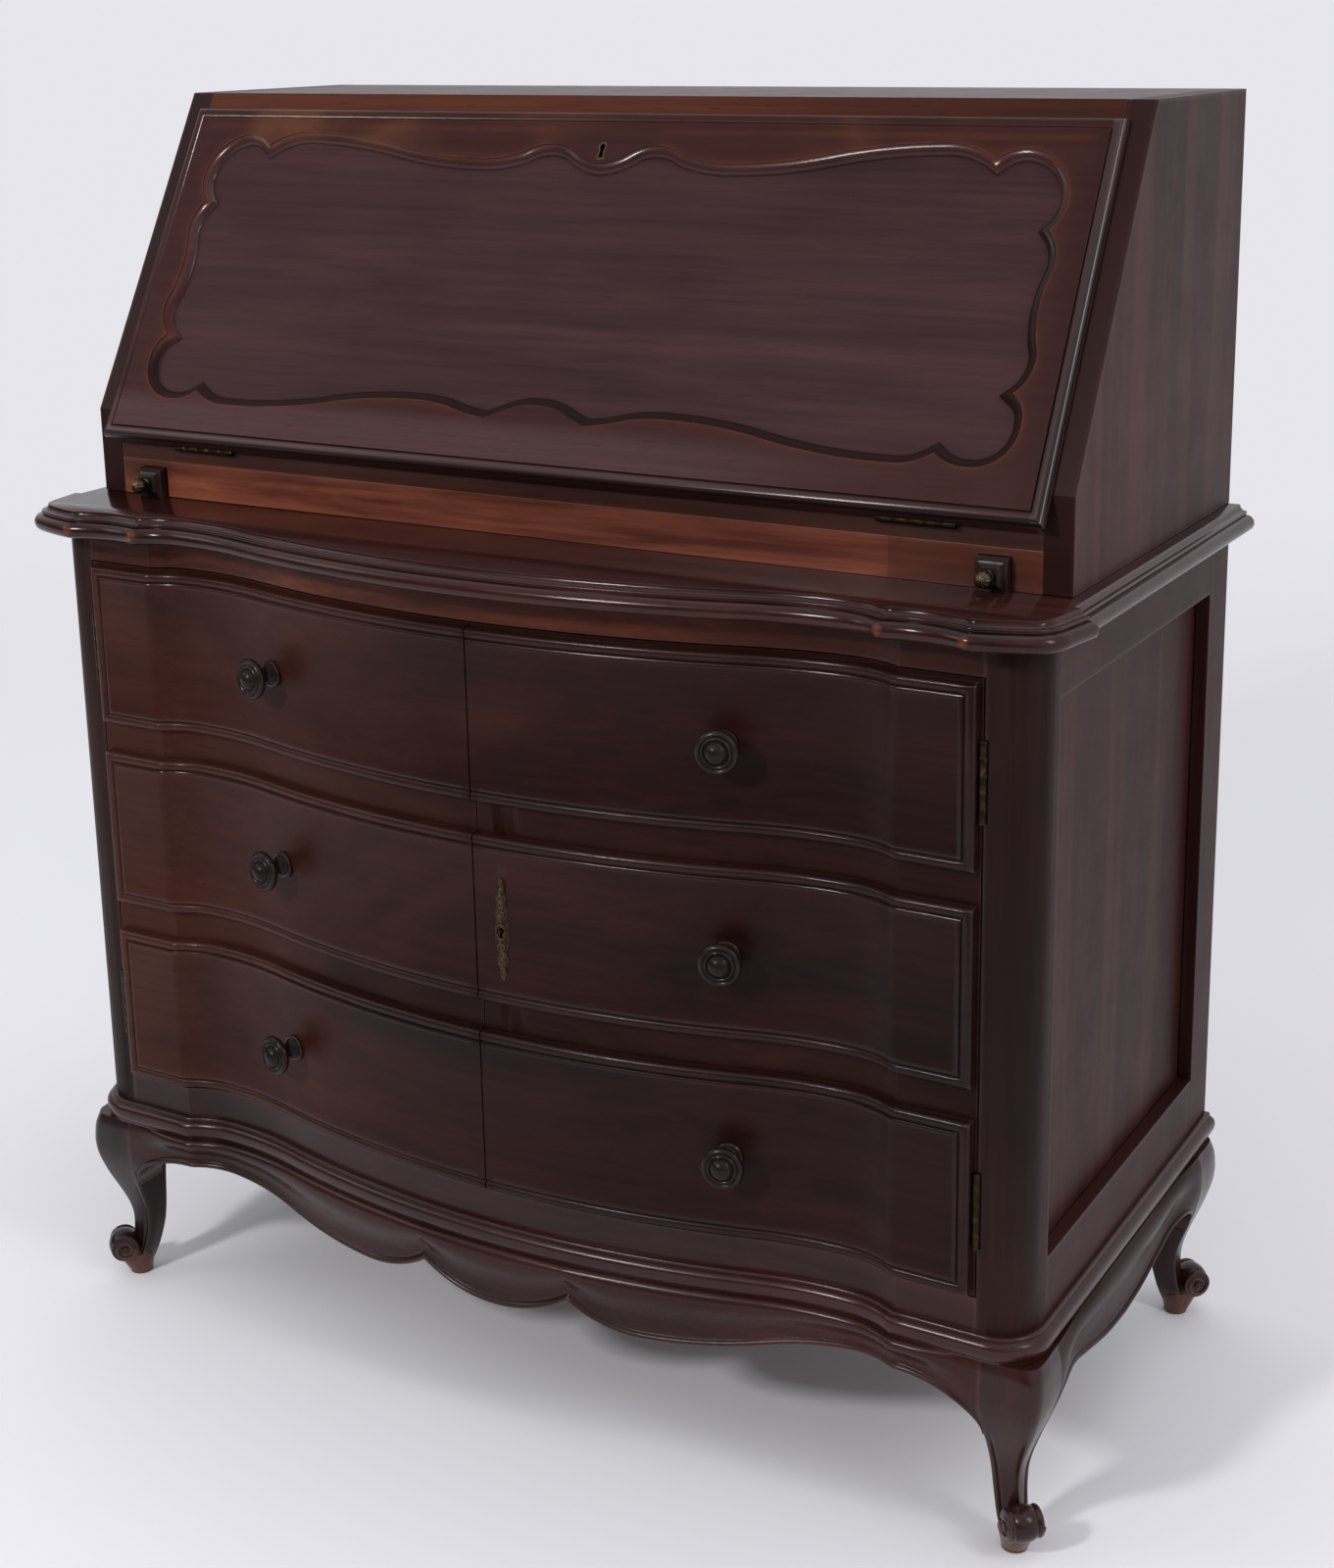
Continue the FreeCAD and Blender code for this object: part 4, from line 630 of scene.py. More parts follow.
def banded(place, colour, streaks, mark):
    """Upright bands of lighter and darker wood, some broad and some a finger wide."""
    bands = noise(place, [19, 19, 0.5], 4, 0.62, 0.5)
    lighter = bands.step(0.47, 0.7) * 0.42
    darker = (1 - bands).step(0.5, 0.7) * 0.4
    return darker.tint(lighter.tint(colour, (0.088, 0.033, 0.024)), (0.014, 0.0052, 0.0046))


DULL = {"shine": 0.1, "wear": 0.3}
post_wood = polished_wood("post_wood", UPRIGHT, POST_TONES, gloss=0.5, **DULL)
panel_wood = polished_wood("panel_wood", UPRIGHT, SIDE_TONES, gloss=0.46, extra=banded, **DULL)
stile_wood = polished_wood("frame_wood", UPRIGHT, SIDE_TONES, gloss=0.45, **DULL)
side_rail_wood = polished_wood("side_rail_wood", DEEP, SIDE_TONES, gloss=0.45, **DULL)
for _, label in SIDES:
    dress(post_wood, ["front_post_" + label])
    dress(stile_wood, ["rear_stile_" + label], 1.2)
    dress(panel_wood, ["side_panel_" + label])
    dress(side_rail_wood, ["side_rails_" + label], 1.2)

# Cupboard
# Two serpentine mahogany rails frame the doors. The bottom board, shelf, battens and back are plainer
# wood, oiled and not polished, glued or pinned inside the frames.
RAIL_TONES = [(0.024, 0.0072, 0.005), (0.062, 0.0178, 0.0105), (0.12, 0.038, 0.019)]
UNDER_TONES = [(0.028, 0.0078, 0.0053), (0.098, 0.025, 0.0135), (0.22, 0.06, 0.0255)]


def dark_right(place, colour, streaks, mark):
    """Under the board the lively wood turns darker towards the right."""
    right = (place.part("X") + (mark - 0.5) * 0.1).step(0.05, 0.36)
    return (right * 0.8).tint(colour, (0.019, 0.0062, 0.0048))


low_rail_wood = polished_wood("low_rail_wood", ACROSS, CASE_TONES, gloss=0.36)
under_board_wood = polished_wood("under_board_wood", ACROSS, UNDER_TONES, gloss=0.36, shine=0.12,
                                 figure=1.4, extra=dark_right)
dress(low_rail_wood, ["door_rail_bottom"], 0)
dress(under_board_wood, ["door_rail_top"], 0)
dress(raw_wood, ["bottom_board", "lower_back_panel", "cupboard_shelf", "shelf_battens"])

# Moulded board
# The solid mahogany board between the two cases, screwed down to the lower one. Its edge is a hollow,
# a fillet and a bold round nose; the front runs from the serpentine into a scallop and an ear.
BOARD_LAP, BOARD_NOSE, SIDE_LAP, SCALLOP = 14.5 * MM, 12 * MM, 8 * MM, 5 * MM
EAR_START, EAR_BOW, EAR_CORNER, EAR_END = 41 * MM, 170 * MM, 21.2 * MM, 40 * MM
EAR_IN, EAR_BEHIND, EAR_TURN, EAR_LEAN = 13 * MM, 11.1 * MM, 22, 10
board_low, board_high = (corner.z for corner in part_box("moulded_board"))
# drop from the top and swell, both in shares: arris, hollow, fillet, quirk, nose
hollow, nose = ([math.radians(a) for a in range(*turns)] for turns in ((0, 91, 15), (8, 173, 12)))
BOARD_EDGE = [(0, -0.05), (0.012, -0.01)]
BOARD_EDGE += [(0.03 + 0.2 * math.sin(a), 0.4 * (1 - math.cos(a))) for a in hollow]
BOARD_EDGE += [(0.24, 0.435), (0.255, 0.45), (0.33, 0.46), (0.345, 0.45), (0.355, 0.42), (0.372, 0.42)]
BOARD_EDGE += [(0.69 - 0.31 * math.cos(a), 0.46 + 0.54 * math.sin(a)) for a in nose]
BOARD_EDGE += [(1, 0.5)]


def meeting(first, first_radius, second, second_radius, near):
    """The crossing of two circles that lies nearest to a point."""
    between = second - first
    run = (between.length ** 2 + first_radius ** 2 - second_radius ** 2) / (2 * between.length)
    rise = math.sqrt(first_radius ** 2 - run ** 2)
    between.normalize()
    sideways = Vector((-between.y, between.x))
    crossings = [first + between * run + sideways * rise * way for way in (1, -1)]
    return min(crossings, key=lambda point: (point - near).length)


def turn_to(centre, point):
    return math.degrees(math.atan2(point.y - centre.y, point.x - centre.x))


def board_half(swell, cusps=None):
    """Half of the board's plan at a swell; the cusps on either side of the scallop are added to a list."""
    ridge = Vector((ridge_x(BOARD_LAP), BOARD_LAP))
    corner = Vector((half - EAR_IN, -EAR_BEHIND))
    turning = Vector((math.sin(math.radians(EAR_TURN)), math.cos(math.radians(EAR_TURN))))
    bow = corner - turning * (EAR_BOW - EAR_CORNER)
    start_x = half - EAR_START
    ear_point = Vector((start_x, bow.y + math.sqrt(EAR_BOW ** 2 - (start_x - bow.x) ** 2)))
    chord = ear_point - ridge
    scallop_radius = sag(chord.length / 2, SCALLOP)
    chord.normalize()
    scallop = (ridge + ear_point) / 2 + Vector((-chord.y, chord.x)) * (scallop_radius - SCALLOP)
    flare = Vector((DIP_AT, flare_radius - DIP))
    flare_now, scallop_now, bow_now, corner_now = (
        flare_radius - BOARD_LAP - swell, scallop_radius - swell, EAR_BOW + swell, EAR_CORNER + swell)
    ridge_now = meeting(flare, flare_now, scallop, scallop_now, ridge)
    ear_now = meeting(scallop, scallop_now, bow, bow_now, ear_point)
    if cusps is not None:
        cusps.extend([ridge_now, ear_now])
    points = serpentine(BOARD_LAP + swell)
    points += arc(flare, flare_now, -90, turn_to(flare, ridge_now), 8)[1:]
    points += arc(scallop, scallop_now, turn_to(scallop, ridge_now), turn_to(scallop, ear_now), 12)[1:]
    points += arc(bow, bow_now, turn_to(bow, ear_now), 90 - EAR_TURN, 10)[1:]
    points += arc(corner, corner_now, 90 - EAR_TURN, EAR_LEAN, 12)[1:]
    leave, ahead_of = points[-1]
    tip = leave + (ahead_of + EAR_END) * math.tan(math.radians(EAR_LEAN))
    points += [(leave + (tip - leave) * t, ahead_of - (ahead_of + EAR_END) * t) for t in (0.5, 1)]
    side = half + SIDE_LAP + swell
    return points + [(side, -d) for d in spread(EAR_END, back - front, 10)]


cusps = []
board_half(BOARD_NOSE, cusps)


def bare_cusps(place, colour, streaks, mark):
    """The polish is worn through to orange wood on the nose at the four cusps."""
    folded = place.node("VectorMath", {"operation": "ABSOLUTE"}, {0: place})
    bare = 0
    for cusp in cusps:
        point = (cusp.x, abs(front - cusp.y), board_low + 8 * MM)
        away = folded.measure("DISTANCE", point) + (mark - 0.5) * 6 * MM
        bare = bare + (1 - away.step(1.5 * MM, 6 * MM))
    return (bare * 0.6).tint(colour, (0.17, 0.046, 0.018))


BOARD_TONES = [(0.013, 0.0043, 0.0037), (0.036, 0.0098, 0.0078), (0.08, 0.022, 0.013)]
board_wood = polished_wood("board_wood", ACROSS, BOARD_TONES, gloss=0.18, shine=0.24, wear=0.35,
                           extra=bare_cusps)
board_rows = []
for drop_share, swell in BOARD_EDGE:
    height = board_high - drop_share * (board_high - board_low)
    ring = both_halves(board_half(swell * BOARD_NOSE))
    board_rows.append([(x, y, height) for x, y in ring + ring[:1]])
board = paint(close(laid("board_with_ears", board_rows), 42), board_wood)
stand_in(board, "moulded_board", "cabinet")

# Upper case
# Two solid sides, a top with a sloping front edge, a framed back, the rail under the fall and the desk
# board, dovetailed and glued. The rail and the top's front edge were cut from a redder, livelier plank.
LIVELY_TONES = [(0.085, 0.0215, 0.0135), (0.24, 0.066, 0.036), (0.41, 0.138, 0.066)]


def facing_front(place, low, high):
    """1 on faces that look forwards, and 0 on the others."""
    return (-1 * place.node("NewGeometry").other("Normal").part("Y")).step(low, high)


def aside(place):
    """How far a place lies to either side of the middle."""
    return place.node("VectorMath", {"operation": "ABSOLUTE"}, {0: place}).part("X")


def dark_arris(place, colour, streaks, mark):
    """The sides' sloping front edges are nearly black."""
    return facing_front(place, 0.55, 0.8).tint(banded(place, colour, streaks, mark), (0.022, 0.0072, 0.006))


def red_edge(place, colour, streaks, mark):
    """The top's sloping front edge shows the lively plank, darker to the right."""
    lively = streaks.tint((0.045, 0.0125, 0.0075), (0.13, 0.036, 0.017))
    right = place.part("X").step(-0.1, 0.4) * 0.65
    return facing_front(place, 0.4, 0.7).tint(colour, right.tint(lively, (0.026, 0.0075, 0.0055)))


def smoky_patches(place, colour, streaks, mark):
    """Dark clouds of old polish on the lively plank, most of all at its ends, and a darker right end."""
    cloud = noise(place, [5, 5, 14], 3, 0.55, 0.6)
    smoke = (cloud + aside(place).step(0.22, 0.46) * 0.1).step(0.53, 0.76) * 0.65
    right_end = place.part("X").step(0.2968, 0.2972) * 0.55
    return right_end.tint(smoke.tint(colour, (0.03, 0.0088, 0.0062)), (0.07, 0.018, 0.0115))


side_wood = polished_wood("upper_side_wood", UPRIGHT, SIDE_TONES, gloss=0.45, extra=dark_arris, **DULL)
top_wood = polished_wood("top_wood", ACROSS, SIDE_TONES, gloss=0.34, shine=0.08, wear=0.3, reach=1.5,
                         extra=red_edge)
lively_wood = polished_wood("lively_wood", ACROSS, LIVELY_TONES, (0.2, 0.09, 0.045), gloss=0.36, figure=1.6,
                            extra=smoky_patches)
dress(side_wood, ["upper_side_right", "upper_side_left"], 1)
dress(top_wood, ["upper_top"], 0.6)
dress(lively_wood, ["fall_rail"], 0.6)
dress(polished_wood("desk_wood", ACROSS, RAIL_TONES), ["desk_board"], 0.5)
dress(raw_wood, ["upper_back_panel", "loper_guides"])

# Lopers
# Two mahogany bars slide out under the open fall to carry it. Each ends in a hollow-sided pyramid, stained
# almost black, with a small cast brass rosette to pull it by.


def metal(name, bright, dull, roughness, scale=160):
    """Old metal: dull patina, with brighter rubbed edges and a grainy surface."""
    finish, shader, place = new_finish(name)
    grain = noise(place, [scale] * 3, 5, 0.65)
    rub = (edges(place, True, 1.2 * MM) * 0.9 + (grain - 0.42) * 1.5).step(0.05, 0.75)
    # darker in hollows within 2.5 mm: patina with painted shade
    dirt_and_shade = edges(place, False, 2.5 * MM).step(0.2, 0.8) * 0.75
    bump = grain.node("Bump", {}, {"Strength": 0.3, "Distance": 0.15 * MM, "Height": grain})
    feed(shader, {
        "Base Color": dirt_and_shade.tint(rub.tint(dull, bright), [part * 0.25 for part in dull]), "Metallic": 1,
        "Roughness": roughness + (grain - 0.5) * 0.3, "Normal": bump})
    return finish


old_brass = metal("old_brass", (0.12, 0.084, 0.055), (0.038, 0.027, 0.02), 0.45, 420)
DARK_TONES = [(0.0075, 0.0043, 0.0037), (0.0145, 0.0078, 0.0065), (0.026, 0.0138, 0.011)]
DARK_WORN, HEAD_WORN = (0.05, 0.03, 0.021), (0.07, 0.04, 0.028)
dark_wood = polished_wood("dark_wood", DEEP, DARK_TONES, DARK_WORN, gloss=0.3, shine=0.14, wear=0.5)
HEAD_TONES = [(0.01, 0.005, 0.0042), (0.021, 0.0096, 0.0076), (0.038, 0.0165, 0.0122)]
loper_wood = polished_wood("loper_wood", DEEP, HEAD_TONES, HEAD_WORN, gloss=0.3, shine=0.35, wear=0.6)
# inset and rise of each step inwards over the head
LOPER_STEPS = [(0.35, 0.4), (1.6, 0.45), (1.5, 0.75), (1.2, 1.1), (0.8, 1.1), (0.6, 0.5), (0.8, 0.1)]
LOPER_COLLAR = 7.4 * MM


def inset(steps):
    """Insets the selected faces step by step, each by a thickness and a depth in millimetres."""
    for thickness, depth in steps:
        bpy.ops.mesh.inset(thickness=thickness * MM, depth=depth * MM, use_even_offset=True)


def block(name, middle, size, add=bpy.ops.mesh.primitive_cube_add):
    """A cube, or a plane, sized and set in place."""
    deselect()
    add(size=1)
    piece = named(name)
    piece.data.transform(Matrix.Translation(middle) @ Matrix.Diagonal((*size, 1)))
    return piece


BALL = [(3.6, 0), (4.4, 0.6), (4.4, 1.5), (2.9, 2.4), (2.8, 3.4), (4.2, 4.4), (5.6, 5.8), (6.4, 7.8),
        (6.4, 9.6), (5.7, 11.6), (4.2, 13.4), (2.2, 14.6), (0.6, 15)]
ball_knob = paint(turned("ball_knob", BALL, 32), dark_wood)
forward = Matrix.Rotation(math.radians(90), 4, "X")


def on_face(node):
    """The move to the middle of a CAD knob's rear."""
    low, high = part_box(node)
    return Matrix.Translation(((low.x + high.x) / 2, high.y, (low.z + high.z) / 2))


# each petal as (radius, height, width) from its tip outwards
PETAL = [(0.8, 14.6, 0.35), (2.2, 14.2, 0.55), (4, 13.2, 0.75), (5.3, 11.6, 0.8), (6, 9.8, 0.5)]
PETALS = 10
rosette = [copied(ball_knob, "rosette_ball", Matrix.Identity(4))]
for angle in spread(0, math.tau, PETALS)[:-1]:
    line = [(*polar(r * MM, angle), z * MM) for r, z, _ in PETAL]
    rosette.append(rib("petal", line, [width * MM for _, _, width in PETAL]))
rosette_knob = paint(join("rosette_knob", rosette), old_brass)
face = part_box("fall_rail")[0].y - LOPER_COLLAR
for _, label in SIDES:
    low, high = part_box("loper_" + label)
    low.y = face
    bar = block("loper_bar_" + label, (low + high) / 2, high - low)
    edit(bar)
    bpy.ops.mesh.select_mode(type="FACE")
    mesh = bmesh.from_edit_mesh(bar.data)
    for part in mesh.faces:
        part.select_set(part.normal.y < -0.9)
    bmesh.update_edit_mesh(bar.data)
    inset(LOPER_STEPS)
    stop_editing()
    stand_in(paint(close(bar, 25), loper_wood), "loper_" + label, label + "_loper")
    knob = copied(rosette_knob, "loper_rosette_" + label, on_face("loper_knob_" + label) @ forward)
    stand_in(knob, "loper_knob_" + label, label + "_loper")
drop(rosette_knob)

# Gallery
# A light shelf on thin dividers stands on the desk board behind the fall, with pigeonholes above and
# two small dovetailed drawers below. It is oiled wood, pushed in from the front.
GALLERY_WORN = (0.16, 0.07, 0.035)
gallery_wood = polished_wood("gallery_wood", ACROSS, RAIL_TONES, GALLERY_WORN, gloss=0.45)
divider_wood = polished_wood("divider_wood", UPRIGHT, RAIL_TONES, GALLERY_WORN, gloss=0.45)
dress(gallery_wood, ["gallery_shelf", "gallery_drawer_left", "gallery_drawer_right"], 0.6)
dress(divider_wood, ["gallery_dividers"], 0.6)
for _, label in SIDES:
    seat = on_face("gallery_knob_" + label) @ forward
    knob = copied(ball_knob, "drawer_ball_" + label, seat @ Matrix.Scale(13 / 15, 4))
    stand_in(knob, "gallery_knob_" + label, label + "_drawer")
drop(ball_knob)

# Hinges and locks
# Cast brass butt hinges with five knuckles are let into the doors, posts, desk and fall.
# The locks are plain iron boxes with a sliding bolt.
brass = metal("brass", (0.115, 0.08, 0.04), (0.021, 0.0155, 0.0098), 0.45)
iron = metal("iron", (0.32, 0.3, 0.28), (0.11, 0.1, 0.095), 0.5)
dress(brass, ["fixed_hinge_leaves", "hinge_pins", "left_door_hinge_leaves", "right_door_hinge_leaves",
              "fall_hinge_leaves"], 0.25)
dress(iron, ["door_lock_case", "door_lock_bolt", "fall_lock_case", "fall_lock_bolt"], 0.4)

# Doors
# Two bent mahogany boards close the cupboard. Each carries three moulded fronts, so that the pair looks
# like three long drawers: the mouldings run on across the joint in the middle.


def warm_left(place, colour, streaks, mark):
    """The polish is redder towards the left and near the middle of each front, and darker to the right."""
    patch = noise(place, [4.2, 4.2, 7.5], 3, 0.5, 0.8)
    warm = (-2 * place.part("X") + (patch - 0.5) * 2.6).step(-0.35, 1.3) * 0.75
    return warm.tint(colour, streaks.tint((0.04, 0.0105, 0.007), (0.085, 0.024, 0.0135)))


def bead_wear(place):
    """The beads round each front are rubbed, but not the joint in the middle."""
    return aside(place).step(5 * MM, 10 * MM) * 0.5


def bead_glaze(place):
    """The beads shine more than the field inside them."""
    return edges(place, True, 4 * MM).step(0.08, 0.45) * bead_wear(place) * 1.7


DOOR_TONES = [(0.0095, 0.0033, 0.0029), (0.0215, 0.0064, 0.0052), (0.041, 0.012, 0.0086)]
DARK_RAIL_TONES = [[part * 0.4 for part in tone] for tone in RAIL_TONES]
front_wood = polished_wood("front_wood", ACROSS, DOOR_TONES, gloss=0.38, shine=0.1, wear=bead_wear,
                           extra=warm_left, glazed=bead_glaze)
door_wood = polished_wood("door_wood", ACROSS, DARK_RAIL_TONES, gloss=0.38, shine=0.08, wear=0.15,
                          reach=1.5, extra=warm_left)
dress(door_wood, ["left_door", "right_door"], 0)
FRONT_GAP, PLATE_EDGE, BORDER_WIDE, RIDGE_EASE = 25.8 * MM, 4.9 * MM, 14 * MM, 3.5 * MM
# inset and rise of each step inwards over the moulded border: bead, groove, fillet, field
BORDER = [(0.4, 1.2), (0.9, 1.2), (1.4, 0.8), (1.6, 0.25), (1.6, -0.25), (1.3, -0.8), (0.8, -1.1), (0.8, 0),
          (0.3, 1.0), (0.9, 0.5), (1.2, 0.1), (1.0, -0.3)]
fronts_low, fronts_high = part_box("right_door_fronts")
meet, front_end = fronts_low.x, fronts_high.x
front_height = (fronts_high.z - fronts_low.z - 2 * FRONT_GAP) / 3


def bent(piece):
    """Bends a flat-laid piece (x, height, thickness) on to the serpentine front of the doors."""
    for vertex in piece.data.vertices:
        x, height, rise = vertex.co
        ridge = ridge_x(rise)
        reach = abs(x)
        if reach > RIDGE_AT:
            reach = ridge + (reach - RIDGE_AT) * (front_end - ridge) / (front_end - RIDGE_AT)
        elif reach > DIP_AT:
            reach = DIP_AT + (reach - DIP_AT) * (ridge - DIP_AT) / (RIDGE_AT - DIP_AT)
        x = math.copysign(reach, x)
        vertex.co = (x, front - eased(x, rise, RIDGE_EASE), height)
    return piece


def carve(piece, tool, operation="DIFFERENCE"):
    """Cuts a tool out of a piece, or joins it on, and removes the tool."""
    boolean = piece.modifiers.new("carve", "BOOLEAN")
    boolean.operation = operation
    boolean.solver = "EXACT"
    boolean.object = tool
    pick(piece)
    bpy.ops.object.modifier_apply(modifier="carve")
    drop(tool)
    return piece


KEY_RADIUS, KEY_WIDE, KEY_SLOT, KEY_DOWN = 2.4, 2.5 * MM, 6.8 * MM, 3.6 * MM


def key_cutter(name, x, y, z, depth):
    """A keyhole's round and slot as one cutting tool along Y."""
    round_part = turned(name, [(KEY_RADIUS, -depth), (KEY_RADIUS, depth)], 24)
    round_part.data.transform(Matrix.Translation((x, y, z)) @ forward)
    slot = block(name + "_slot", (x, y, z - KEY_DOWN), (KEY_WIDE, 2 * depth * MM, KEY_SLOT))
    return carve(round_part, slot, "UNION")


plate_low, plate_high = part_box("door_key_plate")
key_x, key_z = (plate_low.x + plate_high.x) / 2, (plate_low.z + plate_high.z) / 2
blank = block("front_blank", (0, 0, 0), (2 * front_end, front_height, 1), bpy.ops.mesh.primitive_plane_add)
edit(blank)
bpy.ops.mesh.select_mode(type="FACE")
extrude(PLATE_EDGE)
inset(BORDER)
# lines across, so that the blank can be bent, and more of them at the ridges
stations = spread(-front_end + BORDER_WIDE, front_end - BORDER_WIDE, 150)
stations += [side * (RIDGE_AT + step * MM) for side in (1, -1) for step in (-4, -2.5, -1.2, 0, 1.2, 2.5, 4)]
for station in stations:
    bpy.ops.mesh.select_all(action="SELECT")
    bpy.ops.mesh.bisect(plane_co=(station, 0, 0), plane_no=(1, 0, 0))
stop_editing()
fronts = {1: [], -1: []}
for row in range(3):
    low = fronts_low.z + row * (front_height + FRONT_GAP)
    for side in (1, -1):
        piece = copied(blank, "front", Matrix.Translation((0, low + front_height / 2, 0)))
        edit(piece)
        cut_flat((side * meet, 0, 0), (-side, 0, 0))
        stop_editing()
        fronts[side].append(close(bent(piece), 30))
drop(blank)
carve(fronts[1][1], key_cutter("front_key", key_x, front - BELLY, key_z, 30))
for side, label in SIDES:
    piece = paint(join(label + "_moulded_fronts", fronts[side]), front_wood)
    stand_in(piece, label + "_door_fronts", label + "_door")

# Door knobs
# Six turned knobs of black-stained wood, each screwed on through the door: a foot, a slim neck,
# and a head with a beaded rim, a ring and a low dome.
KNOB = [(9.6, 0), (10.6, 0.7), (10.8, 1.8), (10, 2.9), (8.6, 3.3), (8.4, 4), (7.2, 5.2), (5.8, 7),
        (5.4, 9.2), (5.8, 11.4), (7.2, 13.2), (9.6, 14.6), (12.6, 16), (15.2, 17.8), (16.3, 19.4),
        (16.5, 20.6), (16.1, 22), (15.1, 23.2), (13.9, 23.7), (12.9, 23.4), (12.3, 22.7), (11.8, 22.7),
        (11.3, 23.6), (10.4, 24.1), (9.6, 23.8), (9.2, 23.2), (8.8, 23.3), (8, 24.9), (6.6, 26.6),
        (4.6, 28), (2.4, 28.8), (0.6, 29)]
knob = paint(turned("knob", KNOB, 48), dark_wood)
KNOB_AT = 204 * MM
knob_seat = PLATE_EDGE + sum(depth for _, depth in BORDER) * MM
lean = math.asin(KNOB_AT / (belly_radius + knob_seat))
for side, label in SIDES:
    knobs = []
    for row in range(3):
        height = fronts_low.z + row * (front_height + FRONT_GAP) + front_height / 2
        seat = Matrix.Translation((side * KNOB_AT, front - ahead(KNOB_AT, knob_seat), height))
        knobs.append(copied(knob, "knob_copy", seat @ Matrix.Rotation(side * lean, 4, "Z") @ forward))
    stand_in(join(label + "_turned_knobs", knobs), label + "_door_knobs", label + "_door")
drop(knob)

# Key plate
# A slim cast brass plate, pinned over the keyhole of the right door: leaves and scrolls above and below
# a shield. It has gone brown, and only its high points are bright.
PLATE_THICK, LEAF_RISE, STEM_RISE, SHIELD_RISE, SHIELD_RIB = 1.6 * MM, 1.35, 1.3, 1.5, 0.8 * MM
plate_base = plate_low.y + PLATE_THICK
# height from the keyhole, then half the plate's width
PLATE = [(-41, 0.4), (-39, 1.5), (-36.5, 2.6), (-34, 3.4), (-32, 2.4), (-30, 3), (-27, 4.6), (-23, 4.9),
         (-19, 3.8), (-16, 4.4), (-12, 5.9), (-7, 6.3), (-2, 5.8), (1, 6.1), (4, 5.9), (7, 4.6),
         (9.5, 4.8), (13, 5.6), (17, 4.9), (20, 3.9), (23, 4.3), (27, 4.6), (30, 3.4), (32, 3.1),
         (34.5, 3.3), (37, 2.4), (39.5, 1.2), (41, 0.4)]
# share of the half width, then rise over the wood
PLATE_CROWN = [(-1, 0.1), (-0.97, 0.75), (-0.85, 1.15), (-0.55, 1.05), (-0.25, 1.35), (0, 1.5),
               (0.25, 1.35), (0.55, 1.05), (0.85, 1.15), (0.97, 0.75), (1, 0.1)]


def on_plate(x, z, rise):
    """A place on the bent door, from millimetres off the keyhole and over the wood."""
    return (key_x + x * MM, front - ahead(key_x + x * MM, knob_seat) - rise * MM, key_z + z * MM)


rows = []
for z in spread(PLATE[0][0], PLATE[-1][0], 120):
    width = along(PLATE, z)
    row = [on_plate(width * share, z, rise * min(width / 3, 1)) for share, rise in PLATE_CROWN]
    rows.append(row + [on_plate(width, z, 0), on_plate(-width, z, 0), row[0]])
plate = close(laid("plate", rows), 60)
ornaments = []
# scrolls as (middle height, first radius, turns, way) on each half of the plate
SCROLLS = [(13.5, 3.4, 1.6, 1), (20.5, 3, -1.5, 1), (26, 3.1, 1.4, -1), (32, 2.2, -1.3, 1)]
for end in (-1, 1):
    for z, radius, turns, way in SCROLLS:
        sweep = spread(0, 1, 30)
        places = []
        for t in sweep:
            angle = math.tau * turns * t + math.pi / 2
            x, up = polar(radius * (1 - 0.72 * t), angle, (0.4, z))
            places.append(on_plate(way * x, end * up, LEAF_RISE))
        ornaments.append(rib("leaf", places, [(0.95 - 0.45 * t) * MM for t in sweep]))
    stem = spread(6.5, 39, 26)
    places = [on_plate(1.5 * math.sin(z * 0.42), end * z, STEM_RISE) for z in stem]
    ornaments.append(rib("stem", places, [(0.9 - 0.012 * z) * MM for z in stem]))
shield = [(4.1 * math.cos(a), 1 - 5.6 * math.sin(a)) for a in spread(0, math.tau, 40)]
places = [on_plate(x, z - 2, SHIELD_RISE) for x, z in shield]
ornaments.append(rib("shield", places, [SHIELD_RIB] * len(places)))
plate = carve(plate, key_cutter("plate_key", key_x, plate_base, key_z, 6))
plate_brass = metal("plate_brass", (0.095, 0.062, 0.036), (0.019, 0.0125, 0.0085), 0.5, 420)
plate = paint(join("leafy_key_plate", [plate] + ornaments), plate_brass)
stand_in(plate, "door_key_plate", "right_door")

# Fall
# The sloping flap is one wide mahogany board, let into the case behind a round lip. Its face is carved:
# a sunk panel with a waved outline, cut down through a quarter-round edge. It hangs on two butts.
hinge = next(joint for joint in frame["joints"] if joint["name"] == "fall_hinge")
_, run, rise = next(joint for joint in frame["joints"] if joint["name"] == "fall_bolt_slide")["axis"]


def on_slope(place, direction):
    """How far a place lies from the hinge along a direction."""
    return place.measure("DOT_PRODUCT", direction) - Vector(hinge["pos_m"]).dot(Vector(direction))


